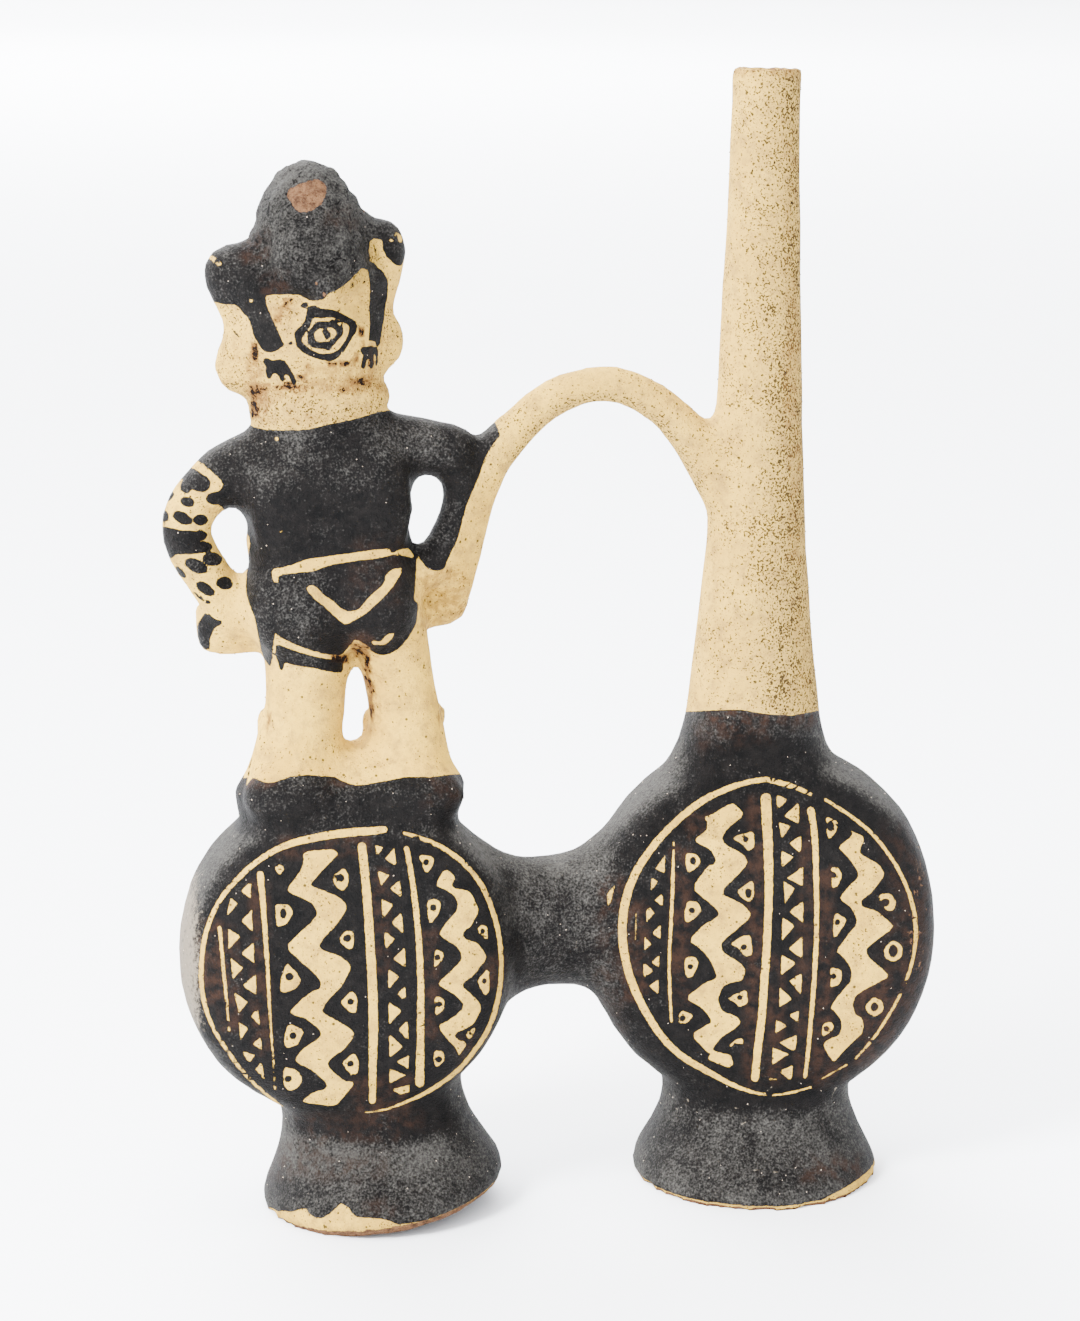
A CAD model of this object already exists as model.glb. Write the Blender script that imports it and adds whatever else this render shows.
"""A double-chambered whistling bottle of fired clay, dressed in its cream and dark slips.

Metres, +Z up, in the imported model's frame. Distances on a painted surface are millimetres.
"""

import math

import bmesh
import bpy
import numpy as np
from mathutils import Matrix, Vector, noise
from mathutils.bvhtree import BVHTree


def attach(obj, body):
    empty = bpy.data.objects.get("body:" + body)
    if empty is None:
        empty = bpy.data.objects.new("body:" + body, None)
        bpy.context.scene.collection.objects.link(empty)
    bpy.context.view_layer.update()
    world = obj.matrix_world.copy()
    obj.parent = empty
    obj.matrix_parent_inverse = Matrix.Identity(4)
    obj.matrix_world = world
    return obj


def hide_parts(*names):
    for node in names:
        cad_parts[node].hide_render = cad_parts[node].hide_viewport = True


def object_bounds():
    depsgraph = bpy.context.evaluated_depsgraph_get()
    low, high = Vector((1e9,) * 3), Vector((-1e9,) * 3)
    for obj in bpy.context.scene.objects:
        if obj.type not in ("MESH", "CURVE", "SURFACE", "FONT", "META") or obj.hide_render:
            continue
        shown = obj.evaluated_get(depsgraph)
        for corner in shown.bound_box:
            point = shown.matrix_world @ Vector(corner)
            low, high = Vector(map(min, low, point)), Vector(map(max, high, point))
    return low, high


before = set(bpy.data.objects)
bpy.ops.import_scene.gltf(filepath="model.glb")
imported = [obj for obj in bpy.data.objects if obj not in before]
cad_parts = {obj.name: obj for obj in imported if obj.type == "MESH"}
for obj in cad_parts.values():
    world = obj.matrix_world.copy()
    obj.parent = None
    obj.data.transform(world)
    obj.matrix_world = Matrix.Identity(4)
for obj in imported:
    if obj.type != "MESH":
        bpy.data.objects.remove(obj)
cad_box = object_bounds()

# The stage
# A wide sheet of matt pale paper under big soft lamps and a soft light brighter on the left, seen from
# the place that the photograph was taken from. None of it is part of the vessel.

EYE = Vector((-0.1743134, -0.7954334, 0.329))
EYE_DOWN = 12.65
EYE_ROUND = 12.0
EYE_LENS = 86.03
PAPER_REACH = 60.0
PAPER_COLOUR = "#F6F8FB"
PAPER_CLOUD = "#F2F5F9"
SKY_COLOUR = "#FAFBFF"
BRIGHT_SIDE = (-0.80, 0.10, 0.55)
SKY_STRENGTHS = (0.6, 6.4)
# Each lamp's name, place, aim, width and watts
LAMPS = (
    ("key_lamp", (-1.20, -0.75, 1.25), (0.0, 0.0, 0.14), 0.6, 125.0),
    ("top_lamp", (-0.15, 0.30, 1.50), (0.0, 0.0, 0.14), 1.2, 32.0),
    ("middle_lamp", (-1.00, 8.0, 4.0), (-1.00, 8.0, 0.0), 8.0, 2400.0),
    ("backdrop_lamp", (-3.00, 19.0, 10.0), (-3.00, 18.0, 0.0), 20.0, 14000.0)
)


def linear(colour):
    """A hex sRGB colour as linear red, green, blue and alpha."""
    levels = [int(colour[i:i + 2], 16) / 255.0 for i in (1, 3, 5)]
    return (*[c / 12.92 if c <= 0.04045 else ((c + 0.055) / 1.055) ** 2.4 for c in levels], 1.0)


def add(tree, kind, inputs=None, give=0, **settings):
    """Adds a node with its settings and links, and gives one of its outputs.

    Inputs are values or other nodes' outputs, by socket name or number.
    """
    made = tree.nodes.new(kind)
    for name, value in settings.items():
        setattr(made, name, value)
    for name, value in (inputs or {}).items():
        if isinstance(value, bpy.types.NodeSocket):
            tree.links.new(value, made.inputs[name])
        else:
            made.inputs[name].default_value = value
    return made.outputs[give]


# A colour mix's settings, and its output
COLOUR_MIX = {"give": 2, "data_type": "RGBA"}


def paper():
    """Matt coated paper, with the faint clouding of a rolled sheet."""
    made = bpy.data.materials.new("matt_background_paper")
    made.use_nodes = True
    tree = made.node_tree
    shader = tree.nodes["Principled BSDF"]
    at = add(tree, "ShaderNodeTexCoord", give="Object")
    cloud = add(tree, "ShaderNodeTexNoise", {"Vector": at, "Scale": 3.0, "Detail": 2.0})
    pair = {0: cloud, 6: linear(PAPER_COLOUR), 7: linear(PAPER_CLOUD)}
    tree.links.new(add(tree, "ShaderNodeMix", pair, **COLOUR_MIX), shader.inputs["Base Color"])
    shader.inputs["Roughness"].default_value = 0.9
    shader.inputs["Specular IOR Level"].default_value = 0.1
    return made


sheet = bpy.data.meshes.new("paper_floor")
corners = [(x * PAPER_REACH, y * PAPER_REACH, 0.0) for x, y in ((-1, -1), (1, -1), (1, 1), (-1, 1))]
sheet.from_pydata(corners, [], [(0, 1, 2, 3)])
sheet.materials.append(paper())
floor = bpy.data.objects.new("paper_floor", sheet)
bpy.context.scene.collection.objects.link(floor)

sky = bpy.data.worlds.new("studio_light")
sky.use_nodes = True
ray = add(sky.node_tree, "ShaderNodeTexCoord", give="Generated")
sides = {0: ray, 1: BRIGHT_SIDE}
toward = add(sky.node_tree, "ShaderNodeVectorMath", sides, "Value", operation="DOT_PRODUCT")
glow = {0: toward, 1: -1.0, 2: 1.0, 3: SKY_STRENGTHS[0], 4: SKY_STRENGTHS[1]}
sky_light = sky.node_tree.nodes["Background"]
sky_light.inputs["Color"].default_value = linear(SKY_COLOUR)
sky.node_tree.links.new(add(sky.node_tree, "ShaderNodeMapRange", glow), sky_light.inputs["Strength"])
bpy.context.scene.world = sky

for name, place, aim, size, power in LAMPS:
    lamp = bpy.data.lights.new(name, "AREA")
    lamp.shape = "DISK"
    lamp.size = size
    lamp.energy = power
    holder = bpy.data.objects.new(name, lamp)
    holder.location = place
    holder.rotation_euler = (Vector(aim) - Vector(place)).to_track_quat("-Z", "Y").to_euler()
    bpy.context.scene.collection.objects.link(holder)

lens = bpy.data.cameras.new("camera")
lens.sensor_width = 36.0
lens.lens = EYE_LENS
lens.clip_start = 0.01
camera = bpy.data.objects.new("camera", lens)
camera.location = EYE
camera.rotation_euler = (math.radians(90.0 - EYE_DOWN), 0.0, math.radians(-EYE_ROUND))
bpy.context.scene.collection.objects.link(camera)
bpy.context.scene.camera = camera

# The clay body
# Hand-built earthenware, thick-walled and all in one piece: chambers, feet, tube, spout, handle and
# figure were luted together leather-hard, rubbed smooth with a pebble and fired in an open fire.

GRAIN = 0.00175
RUBS = 10
FIGURE_RUBS = 3
SOLE_KEEP = 0.006
FINGER_WOBBLE = 0.00030
FINGER_SIZE = 0.014
CAP_ROUGHNESS = 0.00080
CAP_LUMP = 0.0030
SIDE_ROUGHNESS = 0.00018
SIDE_LUMP = 0.0042
CHAMBERS = {
    "left": (Vector((-0.057785, 0.0, 0.0706)), math.radians(-4.0)),
    "right": (Vector((0.056015, 0.0, 0.0709)), math.radians(-15.0)),
}
FACE_DEPTH = 0.022
SHARP = math.radians(70.0)
# The figure is left of and above these, the cap's lumps lie above and about the next, and a chamber's
# gravelly side is within this far of the middle plane and this high
FIGURE_SIDE = -0.015
FIGURE_FOOT = 0.113
CAP_FOOT = 0.246
CAP_MIDDLE = -0.065
CAP_HALF = 0.018
SIDE_HALF = 0.0195
SIDE_TOP = 0.128
CREASE_RUBS = 10


def merged_copy(node):
    """A closed copy of a CAD node's loose triangles."""
    made = bmesh.new()
    made.from_mesh(node.data)
    bmesh.ops.remove_doubles(made, verts=made.verts, dist=1e-6)
    made.faces.ensure_lookup_table()
    return made


def hollow_faces(shell, start):
    """The faces of the hollow round a point, reached without stepping over a sharp edge such as the rim."""
    first = BVHTree.FromBMesh(shell).find_nearest(start)[2]
    found, waiting = {first}, [shell.faces[first]]
    while waiting:
        for edge in waiting.pop().edges:
            if len(edge.link_faces) == 2 and edge.calc_face_angle(0.0) < SHARP:
                for face in edge.link_faces:
                    if face.index not in found:
                        found.add(face.index)
                        waiting.append(face)
    return found


def points_of(mesh):
    """A mesh's points as rows of x, y and z."""
    flat = np.empty(3 * len(mesh.vertices))
    mesh.vertices.foreach_get("co", flat)
    return flat.reshape(-1, 3)


def rubbed(mesh, give, times):
    """Each point moves towards its neighbours' middle, give of the way, as often as times says."""
    at = points_of(mesh)
    ends = np.empty(2 * len(mesh.edges), int)
    mesh.edges.foreach_get("vertices", ends)
    a, b = ends.reshape(-1, 2).T
    count = np.bincount(ends, minlength=len(at))[:, None]
    for _ in range(times):
        total = np.stack(
            [np.bincount(a, at[b, i], len(at)) + np.bincount(b, at[a, i], len(at)) for i in range(3)], 1
        )
        at = at + give[:, None] * (total / count - at)
    mesh.vertices.foreach_set("co", at.ravel())
    mesh.update()


def applied(thing):
    """The object's mesh with its modifiers worked in, and the modifiers gone."""
    bpy.context.view_layer.update()
    graph = bpy.context.evaluated_depsgraph_get()
    thing.data = bpy.data.meshes.new_from_object(thing.evaluated_get(graph))
    thing.modifiers.clear()
    return thing.data


cad = merged_copy(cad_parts["whistling_vessel"])
inner = hollow_faces(cad, CHAMBERS["right"][0])
tree_of_cad = BVHTree.FromBMesh(cad)
data = bpy.data.meshes.new("whistling_vessel_clay")
cad.to_mesh(data)
cad.free()
vessel = bpy.data.objects.new("whistling_vessel_clay", data)
bpy.context.scene.collection.objects.link(vessel)
grain = vessel.modifiers.new("grain", "REMESH")
grain.mode = "VOXEL"
grain.voxel_size = GRAIN
clay = applied(vessel)

places = points_of(clay)
hidden = np.array([tree_of_cad.find_nearest(place)[2] in inner for place in places])
on_figure = (places[:, 0] < FIGURE_SIDE) & (places[:, 2] > FIGURE_FOOT)
near_sole = np.clip(places[:, 2] / SOLE_KEEP, 0.0, 1.0)
near_rim = np.clip((cad_box[1][2] - places[:, 2]) / SOLE_KEEP, 0.0, 1.0)
give = 0.5 * np.where(hidden, 0.0, 1.0) * near_sole * near_rim
rubbed(clay, give, FIGURE_RUBS)
rubbed(clay, np.where(on_figure, 0.0, give), RUBS - FIGURE_RUBS)

# The maker's fingers left the outside a little uneven, the cap lumpy and the chambers' sides gravelly
places = points_of(clay)
clay.vertices.foreach_get("normal", flat := np.empty(places.size))
outward = flat.reshape(-1, 3)
wobble = np.array([noise.noise(Vector(place) / FINGER_SIZE) for place in places]) * FINGER_WOBBLE
on_cap = np.clip((places[:, 2] - CAP_FOOT) / 0.006, 0.0, 1.0) * (places[:, 0] < FIGURE_SIDE)
on_cap *= np.clip((CAP_HALF - np.abs(places[:, 0] - CAP_MIDDLE)) / 0.004, 0.0, 1.0)
lumps = np.array([noise.fractal(Vector(place) / CAP_LUMP, 1.0, 2.0, 3) for place in places])
on_side = np.clip((SIDE_HALF - np.abs(places[:, 1])) / 0.002, 0.0, 1.0)
on_side = on_side * (places[:, 2] < SIDE_TOP) * ~on_figure
gravel = np.array([noise.noise(Vector(place) / SIDE_LUMP) for place in places])
push = wobble + on_cap * lumps * CAP_ROUGHNESS + on_side * gravel * SIDE_ROUGHNESS
push = push * np.where(hidden, 0.0, 1.0) * near_sole * near_rim
places = places + push[:, None] * outward
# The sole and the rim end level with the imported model's
low, high = places[:, 2].min(), places[:, 2].max()
places[:, 2] -= (low - cad_box[0][2]) * np.clip(1.0 - places[:, 2] / SOLE_KEEP, 0.0, 1.0)
places[:, 2] += (cad_box[1][2] - high) * np.clip(1.0 - (high - places[:, 2]) / SOLE_KEEP, 0.0, 1.0)
places = np.clip(places, np.array(cad_box[0]), np.array(cad_box[1]))
clay.vertices.foreach_set("co", places.ravel())
clay.update()

# Creases, where dirt gathers: how far each point lies below its wider surroundings, in millimetres
creased = clay.copy()
rubbed(creased, np.full(len(places), 0.5), CREASE_RUBS)
dip = 1000.0 * ((points_of(creased) - places) * outward).sum(1)
bpy.data.meshes.remove(creased)
clay.attributes.new("dip", "FLOAT", "POINT").data.foreach_set("value", dip.astype(np.float32))


def face_place(side, at):
    """Where points lie on a chamber's round face: across, up and out of it, in millimetres."""
    centre, turn = CHAMBERS[side]
    away = at - np.array(centre)
    along = np.array((math.cos(turn), math.sin(turn), 0.0))
    out = np.array((math.sin(turn), -math.cos(turn), 0.0))
    return 1000.0 * (away @ along), 1000.0 * away[:, 2], 1000.0 * (away @ out)


# The painting on the round faces
# Cream slip laid over the clay, then a ring, two bold stripes, zigzags, rows of triangles and eyes
# left showing between brush strokes of dark slip, each within its own face and all drawn by eye.

FACE_RINGS = {
    "right": [
        ((0.9, 45.6, 1.3), (8.2, 43.8, 1.3), (12.7, 41.6, 0.9)),
        (
            (16.4, 40.3, 0.7), (22.7, 36.4, 0.9), (28.2, 32, 0.9), (32.3, 27.3, 0.9), (35.9, 21.8, 0.9),
            (38.8, 15.9, 0.9), (40.5, 10, 1), (41.2, 4.5, 1), (40.9, -0.9, 0.9), (40, -5.9, 0.8),
            (37.7, -12.7, 0.7), (34.5, -19.1, 0.7), (30.5, -25.9, 0.7), (25.9, -31.4, 0.4)
        ),
        ((23.6, -33.2, 0.4), (16.8, -37.5, 0.3)),
        (
            (14.1, -39.8, 0.5), (9.1, -41.4, 0.6), (4.5, -42.3, 0.6), (-0.9, -41.8, 0.7),
            (-7.3, -39.5, 1.2), (-13.6, -35.9, 1.7), (-20, -32.3, 1.8), (-25.5, -27.3, 1.8),
            (-30.5, -19.5, 1.9), (-34.5, -10.9, 2.1), (-36.5, -2.7, 2.2), (-37, 4.5, 2.2),
            (-36.2, 11.8, 2.2), (-33.8, 19.1, 2), (-29.5, 26.2, 1.8), (-23.6, 33.2, 1.8),
            (-16.4, 39.5, 1.8), (-9.1, 43.2, 1.5), (-3.6, 45, 1.3), (0.9, 45.6, 1.3)
        )
    ],
    "left": [
        (
            (8.2, 38.4, 1.8), (4.5, 38.2, 2), (-0.9, 38, 2.1), (-6.4, 37.5, 2), (-11.8, 36.6, 1.9),
            (-16.4, 35.5, 1.7), (-20.9, 33.5, 1.5), (-25.5, 30.5, 1.3), (-29.5, 26.8, 1.2),
            (-33.2, 22.7, 1.1), (-35.9, 18.2, 1.1), (-37.9, 12.7, 1.1), (-38.9, 7.3, 1.1),
            (-39.3, 1.8, 1.1), (-39.1, -3.6, 1), (-38, -9.1, 0.9), (-35.9, -14.5, 0.8), (-33.2, -19.1, 0.9),
            (-30, -24.1, 0.9), (-26.8, -28.2, 0.8), (-23.6, -31.4, 0.7), (-20, -34.7, 0.6),
            (-18.6, -35.9, 0.5)
        ),
        (
            (13.6, 37.3, 0.7), (17.7, 35.9, 1), (22.7, 33.6, 1.2), (27.7, 30, 1.2), (31.4, 25.9, 1.2),
            (34.5, 20.9, 1.2), (36.8, 14.5, 1.2), (38, 9.1, 1.2), (38.6, 3.6, 1.1), (38.6, -2.7, 1.1),
            (37.7, -9.1, 1.2), (35.9, -15.5, 1.3), (33.0, -20.5, 1.2), (29.2, -25.6, 1.2),
            (25.6, -29.1, 1.2), (21.1, -32.2, 1.1), (16.8, -34.5, 0.9), (12.4, -36.2, 0.7),
            (8.2, -37.7, 0.5), (2.7, -38.2, 0.4)
        )
    ],
}
FACE_STRIPES = {
    "right": [
        (
            (0.8, 40.5, 2.6), (1.3, 31.8, 2.5), (1.8, 22.7, 2.3), (2, 13.6, 2), (1.8, 4.5, 2),
            (1.5, -4.5, 2), (1, -11.8, 2), (0.7, -20.5, 2), (-0.2, -27.5, 2), (-0.9, -37.5, 2)
        ),
        (
            (12.7, 37.3, 1.8), (13.8, 30.9, 1.6), (14.4, 20, 1.4), (14.7, 11, 1.2), (14.8, 3.6, 1.2),
            (14.6, -4.5, 1.2), (14.3, -13.6, 1.1), (13.7, -21, 1.1), (13.2, -30, 1), (12.5, -36.8, 0.9)
        ),
        (
            (-23.4, 28, 0.3), (-23.5, 20, 0.9), (-23.7, 10, 0.9), (-24.2, 0, 0.8), (-24.3, -7, 0.8),
            (-24, -15, 0.8), (-23.5, -22, 0.6)
        ),
        ((-33.1, 8.2, 0.3), (-33.3, 0.9, 0.3))
    ],
    "left": [
        (
            (2.6, 34.2, 2.1), (3.2, 28, 2.1), (3.8, 20, 2.1), (4.3, 10, 2.2), (4.8, 0, 2.3), (5, -9, 2.4),
            (5, -16, 2.3), (4.7, -24, 2), (4.5, -35, 1.7)
        ),
        (
            (14.1, 33.2, 1.3), (15.1, 27.5, 1.3), (16.1, 20, 1.4), (17, 10.5, 1.5), (17.4, 0, 1.6),
            (17.5, -9, 1.7), (17.3, -18, 1.8), (17, -30.8, 2.2)
        ),
        (
            (-23.6, 27.8, 1.7), (-23, 20, 1.3), (-22.5, 10, 1.1), (-22.1, 0, 0.8), (-21.7, -13.6, 0.6),
            (-21.1, -22.7, 0.4), (-20.9, -30.5, 0.4)
        ),
        ((-34.3, 14.1, 0.9), (-33.6, 4.5, 0.8), (-33, -4.5, 0.7), (-32.4, -13.8, 0.5))
    ],
}
FACE_ZIGZAGS = {
    "right": [
        (
            (-8.2, 39.1), (-13.6, 35.6), (-15.5, 35), (-14.4, 33.6), (-14.7, 31.4), (-18.2, 28.6),
            (-13.6, 26.2), (-12, 23.5), (-12.5, 22), (-14.1, 21.8), (-18.4, 15.5), (-14.1, 11.8),
            (-11.4, 9.3), (-11.1, 8.2), (-12.5, 6.8), (-15, 5.5), (-19.1, 0.9), (-15.9, -1.4),
            (-13.2, -4.5), (-11.4, -9.1), (-12.3, -10), (-14.1, -10.5), (-20, -15.2), (-15.5, -17.7),
            (-13.2, -20.5), (-12.9, -22.3), (-14.1, -22.7), (-18.2, -25.5), (-14.1, -30), (-12.9, -30.9),
            (-13.6, -32.3), (-10.9, -33.5), (-8, -34.7), (-6.8, -33.5), (-7.7, -30.9), (-10, -30.7),
            (-12.5, -29.8), (-11.8, -28.2), (-10, -25.9), (-7.3, -24.1), (-4.8, -21.8), (-6.4, -20),
            (-10, -18.8), (-11.4, -15.5), (-10, -11.8), (-7.5, -10.5), (-4.8, -10), (-3.8, -7.3),
            (-5.5, -5), (-10, -2.3), (-10.7, 0), (-9.1, 1.8), (-2.3, 8), (-4.5, 10.9), (-7.3, 12.5),
            (-10.2, 13.6), (-10, 15.5), (-8.2, 17.3), (-3.5, 22.7), (-5, 25), (-10, 27.7), (-10.7, 29.5),
            (-9.5, 31.8), (-4.8, 35.9), (-6.4, 37.7)
        ),
        (
            (23.2, 32), (24.1, 30.9), (20, 27.3), (21.8, 25.6), (23.8, 23.2), (25.5, 20.5), (25.5, 19.1),
            (24.1, 17.7), (20.7, 13.6), (21.8, 12.3), (24.1, 10.5), (25.5, 7.3), (25, 5.5), (24.1, 4.5),
            (20, -1.4), (21.8, -2.7), (23.2, -4.5), (24.5, -6.8), (24.1, -10), (21.8, -12.7), (18.8, -17.1),
            (20, -18.2), (21.8, -20.5), (22.1, -22.7), (21.4, -25), (18.2, -26.4), (17.1, -27.7),
            (18.6, -30.5), (20, -32.5), (21.1, -31.4), (22.7, -29.3), (24.1, -27.7), (27.3, -24.5),
            (27.9, -22.7), (27.3, -20), (25.5, -19.1), (24.7, -16.4), (25.5, -13.6), (28.2, -11.8),
            (34.4, -8.2), (32.7, -6.4), (30, -4.1), (28.2, -2.3), (28, -0.9), (29.1, 0.5), (35.3, 5.6),
            (33.6, 7.3), (30.5, 10), (26.8, 10.9), (26.2, 12.3), (27.3, 13.6), (29.1, 15), (32.5, 20),
            (30.9, 22.7), (27.7, 24.5), (25.9, 25.5), (25.7, 27.3), (26.8, 29.1), (26.4, 30.5),
            (24.1, 31.4)
        )
    ],
    "left": [
        (
            (-12.5, 32.7), (-12.3, 30.5), (-13.6, 27.7), (-16.6, 23.8), (-16.4, 22.7), (-10.9, 20),
            (-9.4, 18.2), (-9.1, 16.4), (-10.5, 14.5), (-12.7, 12.7), (-16.7, 8.9), (-16.7, 7.3),
            (-14.1, 4.5), (-10, 0.5), (-8.4, -1.8), (-8.6, -3.6), (-10.9, -4.4), (-13.6, -6.4),
            (-16.7, -9.5), (-15.5, -10.5), (-12.7, -11.4), (-9.1, -14.5), (-8.5, -16.4), (-10, -17.7),
            (-13.6, -20), (-15.6, -22.7), (-14.5, -23.8), (-10.9, -25.9), (-7.7, -29.1), (-7.1, -30.5),
            (-8.2, -31.4), (-10.9, -31.8), (-13.8, -34.1), (-13.2, -34.5), (-9.1, -35.5), (-5.5, -35.8),
            (-4.5, -35.3), (-0.5, -30.5), (-0.5, -29.5), (-2.7, -29.3), (-5.5, -26.8), (-7.1, -24.5),
            (-6.8, -23.2), (-5.5, -22.3), (-2.7, -20.5), (0, -16.8), (-0.5, -15.5), (-2.7, -13.6),
            (-7.3, -10.9), (-8.5, -10), (-7.7, -8.2), (-6.4, -6.4), (-2.7, -2.7), (-0.7, 1.8), (-1.4, 3.2),
            (-3.6, 5), (-8.2, 6.8), (-8.9, 8), (-7.7, 10), (-4.5, 13.2), (-1.6, 17.3), (-1.8, 19.1),
            (-3.6, 20.9), (-7.3, 22.7), (-10.5, 24.1), (-10.9, 24.7), (-9.5, 26.2), (-7.3, 28.6),
            (-4.5, 31.4), (-3.5, 32.5), (-5, 33.8), (-10.9, 33.5)
        ),
        (
            (24.1, 27.5), (21.4, 23), (24.5, 21.6), (26.4, 20), (27.3, 18.2), (27.1, 15.9), (25.5, 14.1),
            (22.3, 10), (23.6, 8.6), (26.8, 6.4), (28.4, 4.1), (28.2, 2.3), (26.4, 0.5), (22, -3.6),
            (22.7, -4.5), (26.8, -7.1), (28.6, -9.5), (28.4, -10.9), (26.8, -12.5), (24.5, -14.1),
            (22.3, -15), (22.7, -16.8), (24.5, -19.1), (26.8, -21.8), (27.3, -23.8), (29.3, -20.9),
            (28.9, -20), (27.3, -19.5), (26.2, -18.4), (26.8, -17.1), (29.1, -16.5), (31.4, -15),
            (33.2, -11.4), (32.9, -9.5), (30.9, -7.3), (28.4, -5), (28.6, -3.6), (31.4, -1.8), (34.7, 2.7),
            (34.1, 4.5), (31.8, 7.3), (28.6, 8), (28.4, 9.1), (29.1, 10.5), (30.9, 11.8), (32.7, 15.9),
            (31.8, 18.2), (30.5, 20.9), (28.2, 21.6), (26.2, 22), (25.6, 22.9), (26.8, 25)
        )
    ],
}
FACE_TRIANGLES = {
    "right": [
        ((-25.7, 24.4), (-28, 20.7), (-25.8, 19.6)), ((-26.2, 13.8), (-28.2, 12), (-26.2, 10.3)),
        ((-26.7, 5), (-28.9, 2.9), (-26.7, 1.2)), ((-27, -3.5), (-29.1, -5.3), (-27.1, -6.7)),
        ((-27.1, -10.2), (-29.5, -12), (-27.1, -14.2)), ((-29.1, 18.2), (-27.5, 17.1), (-29.3, 14.5)),
        ((-30.3, 10.7), (-28.4, 8.4), (-30.5, 5.7)), ((-30.9, 1.6), (-29.1, -0.2), (-30.9, -2)),
        ((-31.1, -5.6), (-28.5, -7.6), (-31.1, -9.8)), ((3.6, 41.4), (6.5, 40.2), (3.8, 37.3)),
        ((4.4, 33.8), (7.5, 33), (5, 29.5)), ((5.2, 26.2), (8.2, 24.4), (5.2, 21.6)),
        ((5.9, 17.7), (8.8, 15.9), (6.4, 11.8)), ((5.7, 7.7), (8.9, 5.5), (5.7, 1.4)),
        ((5.6, -2.7), (9.5, -5), (5.6, -8.4)), ((5.3, -11.8), (8.6, -15), (5.3, -17.3)),
        ((4.5, -20.9), (7.5, -22.5), (4.4, -24.7)), ((3.8, -28.8), (8, -30.5), (3.6, -33.6)),
        ((2.7, -37.3), (5, -37.7), (2.7, -38)), ((9.5, 39.4), (5.6, 35.6), (9.5, 33.6)),
        ((10.2, 30.3), (7.1, 28.2), (10.2, 25.6)), ((10.9, 21.8), (6.8, 18.6), (10.9, 16.5)),
        ((11.1, 12.3), (7.5, 9.5), (11.1, 6.4)), ((11.1, 2.5), (7.5, -0.9), (11.1, -3.6)),
        ((11.1, -7.7), (7.9, -10), (10.9, -13.6)), ((10.5, -18.2), (8, -19.5), (10.3, -21.6)),
        ((10.2, -25), (5.5, -27.3), (9.5, -30)), ((9.1, -33.6), (5.6, -35.5), (8.9, -38.2)),
        ((-38.6, 16.5), (-40.9, 13.5), (-40.9, 10), (-40, 11), (-39.5, 13.5))
    ],
    "left": [
        ((-25.9, 26.2), (-28.5, 23.6), (-26.2, 21.5)), ((-25.9, 18.4), (-28.6, 15.5), (-25.9, 12.7)),
        ((-25.7, 9.5), (-28.8, 6.8), (-25.6, 4.1)), ((-25.3, 0.9), (-28.6, -1.8), (-25.3, -4.5)),
        ((-24.9, -8.5), (-26.8, -10.2), (-24.4, -12.9)), ((-24.3, -16.1), (-26.4, -17.7), (-24.1, -19.7)),
        ((-24.3, -23), (-25.9, -25), (-23.5, -27.7)), ((-31.2, 21.8), (-29.5, 20.3), (-32.5, 16.8)),
        ((-32, 13.6), (-29.1, 11.4), (-32, 8.2)), ((-31.5, 5.5), (-28.6, 3), (-31.2, 0)),
        ((-30.9, -3.6), (-27.5, -6.4), (-29.8, -9.1)), ((-29.8, -11.8), (-27.5, -13.6), (-29.5, -16.4)),
        ((-29.1, -19.8), (-25.9, -20.9), (-27.5, -23)), ((6.1, 34.4), (7.9, 33.6), (6.4, 31.5)),
        ((6.5, 27.5), (9.5, 26.2), (7.5, 23.4)), ((7.5, 19.8), (10.5, 18.2), (7.7, 14.5)),
        ((8.2, 11.1), (10.7, 9.1), (8.4, 6.1)), ((9.1, 0.9), (11.8, -1.4), (9.1, -4.5)),
        ((9.1, -8.2), (12.3, -10.6), (9.1, -14.3)), ((9.1, -16.8), (12.5, -20.5), (9.1, -23.5)),
        ((9.1, -26.4), (13.2, -28.4), (9.1, -30.5)), ((10.9, 33.2), (8.5, 30.7), (11.5, 28.6)),
        ((12.3, 24.8), (9.8, 22.7), (12.7, 20)), ((12.7, 16.1), (10, 13.4), (13, 10.5)),
        ((13.4, 6.5), (10.3, 3.6), (13.6, 1.2)), ((13.4, -4.1), (11.4, -5.9), (13.6, -8.5)),
        ((13.9, -13.5), (11.5, -15.7), (14.1, -18.8)), ((14.3, -23), (10.9, -24.5), (13.9, -26.6)),
        ((9.8, -32.3), (14.3, -31), (14.1, -33.2), (11.8, -33.6))
    ],
}
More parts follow.
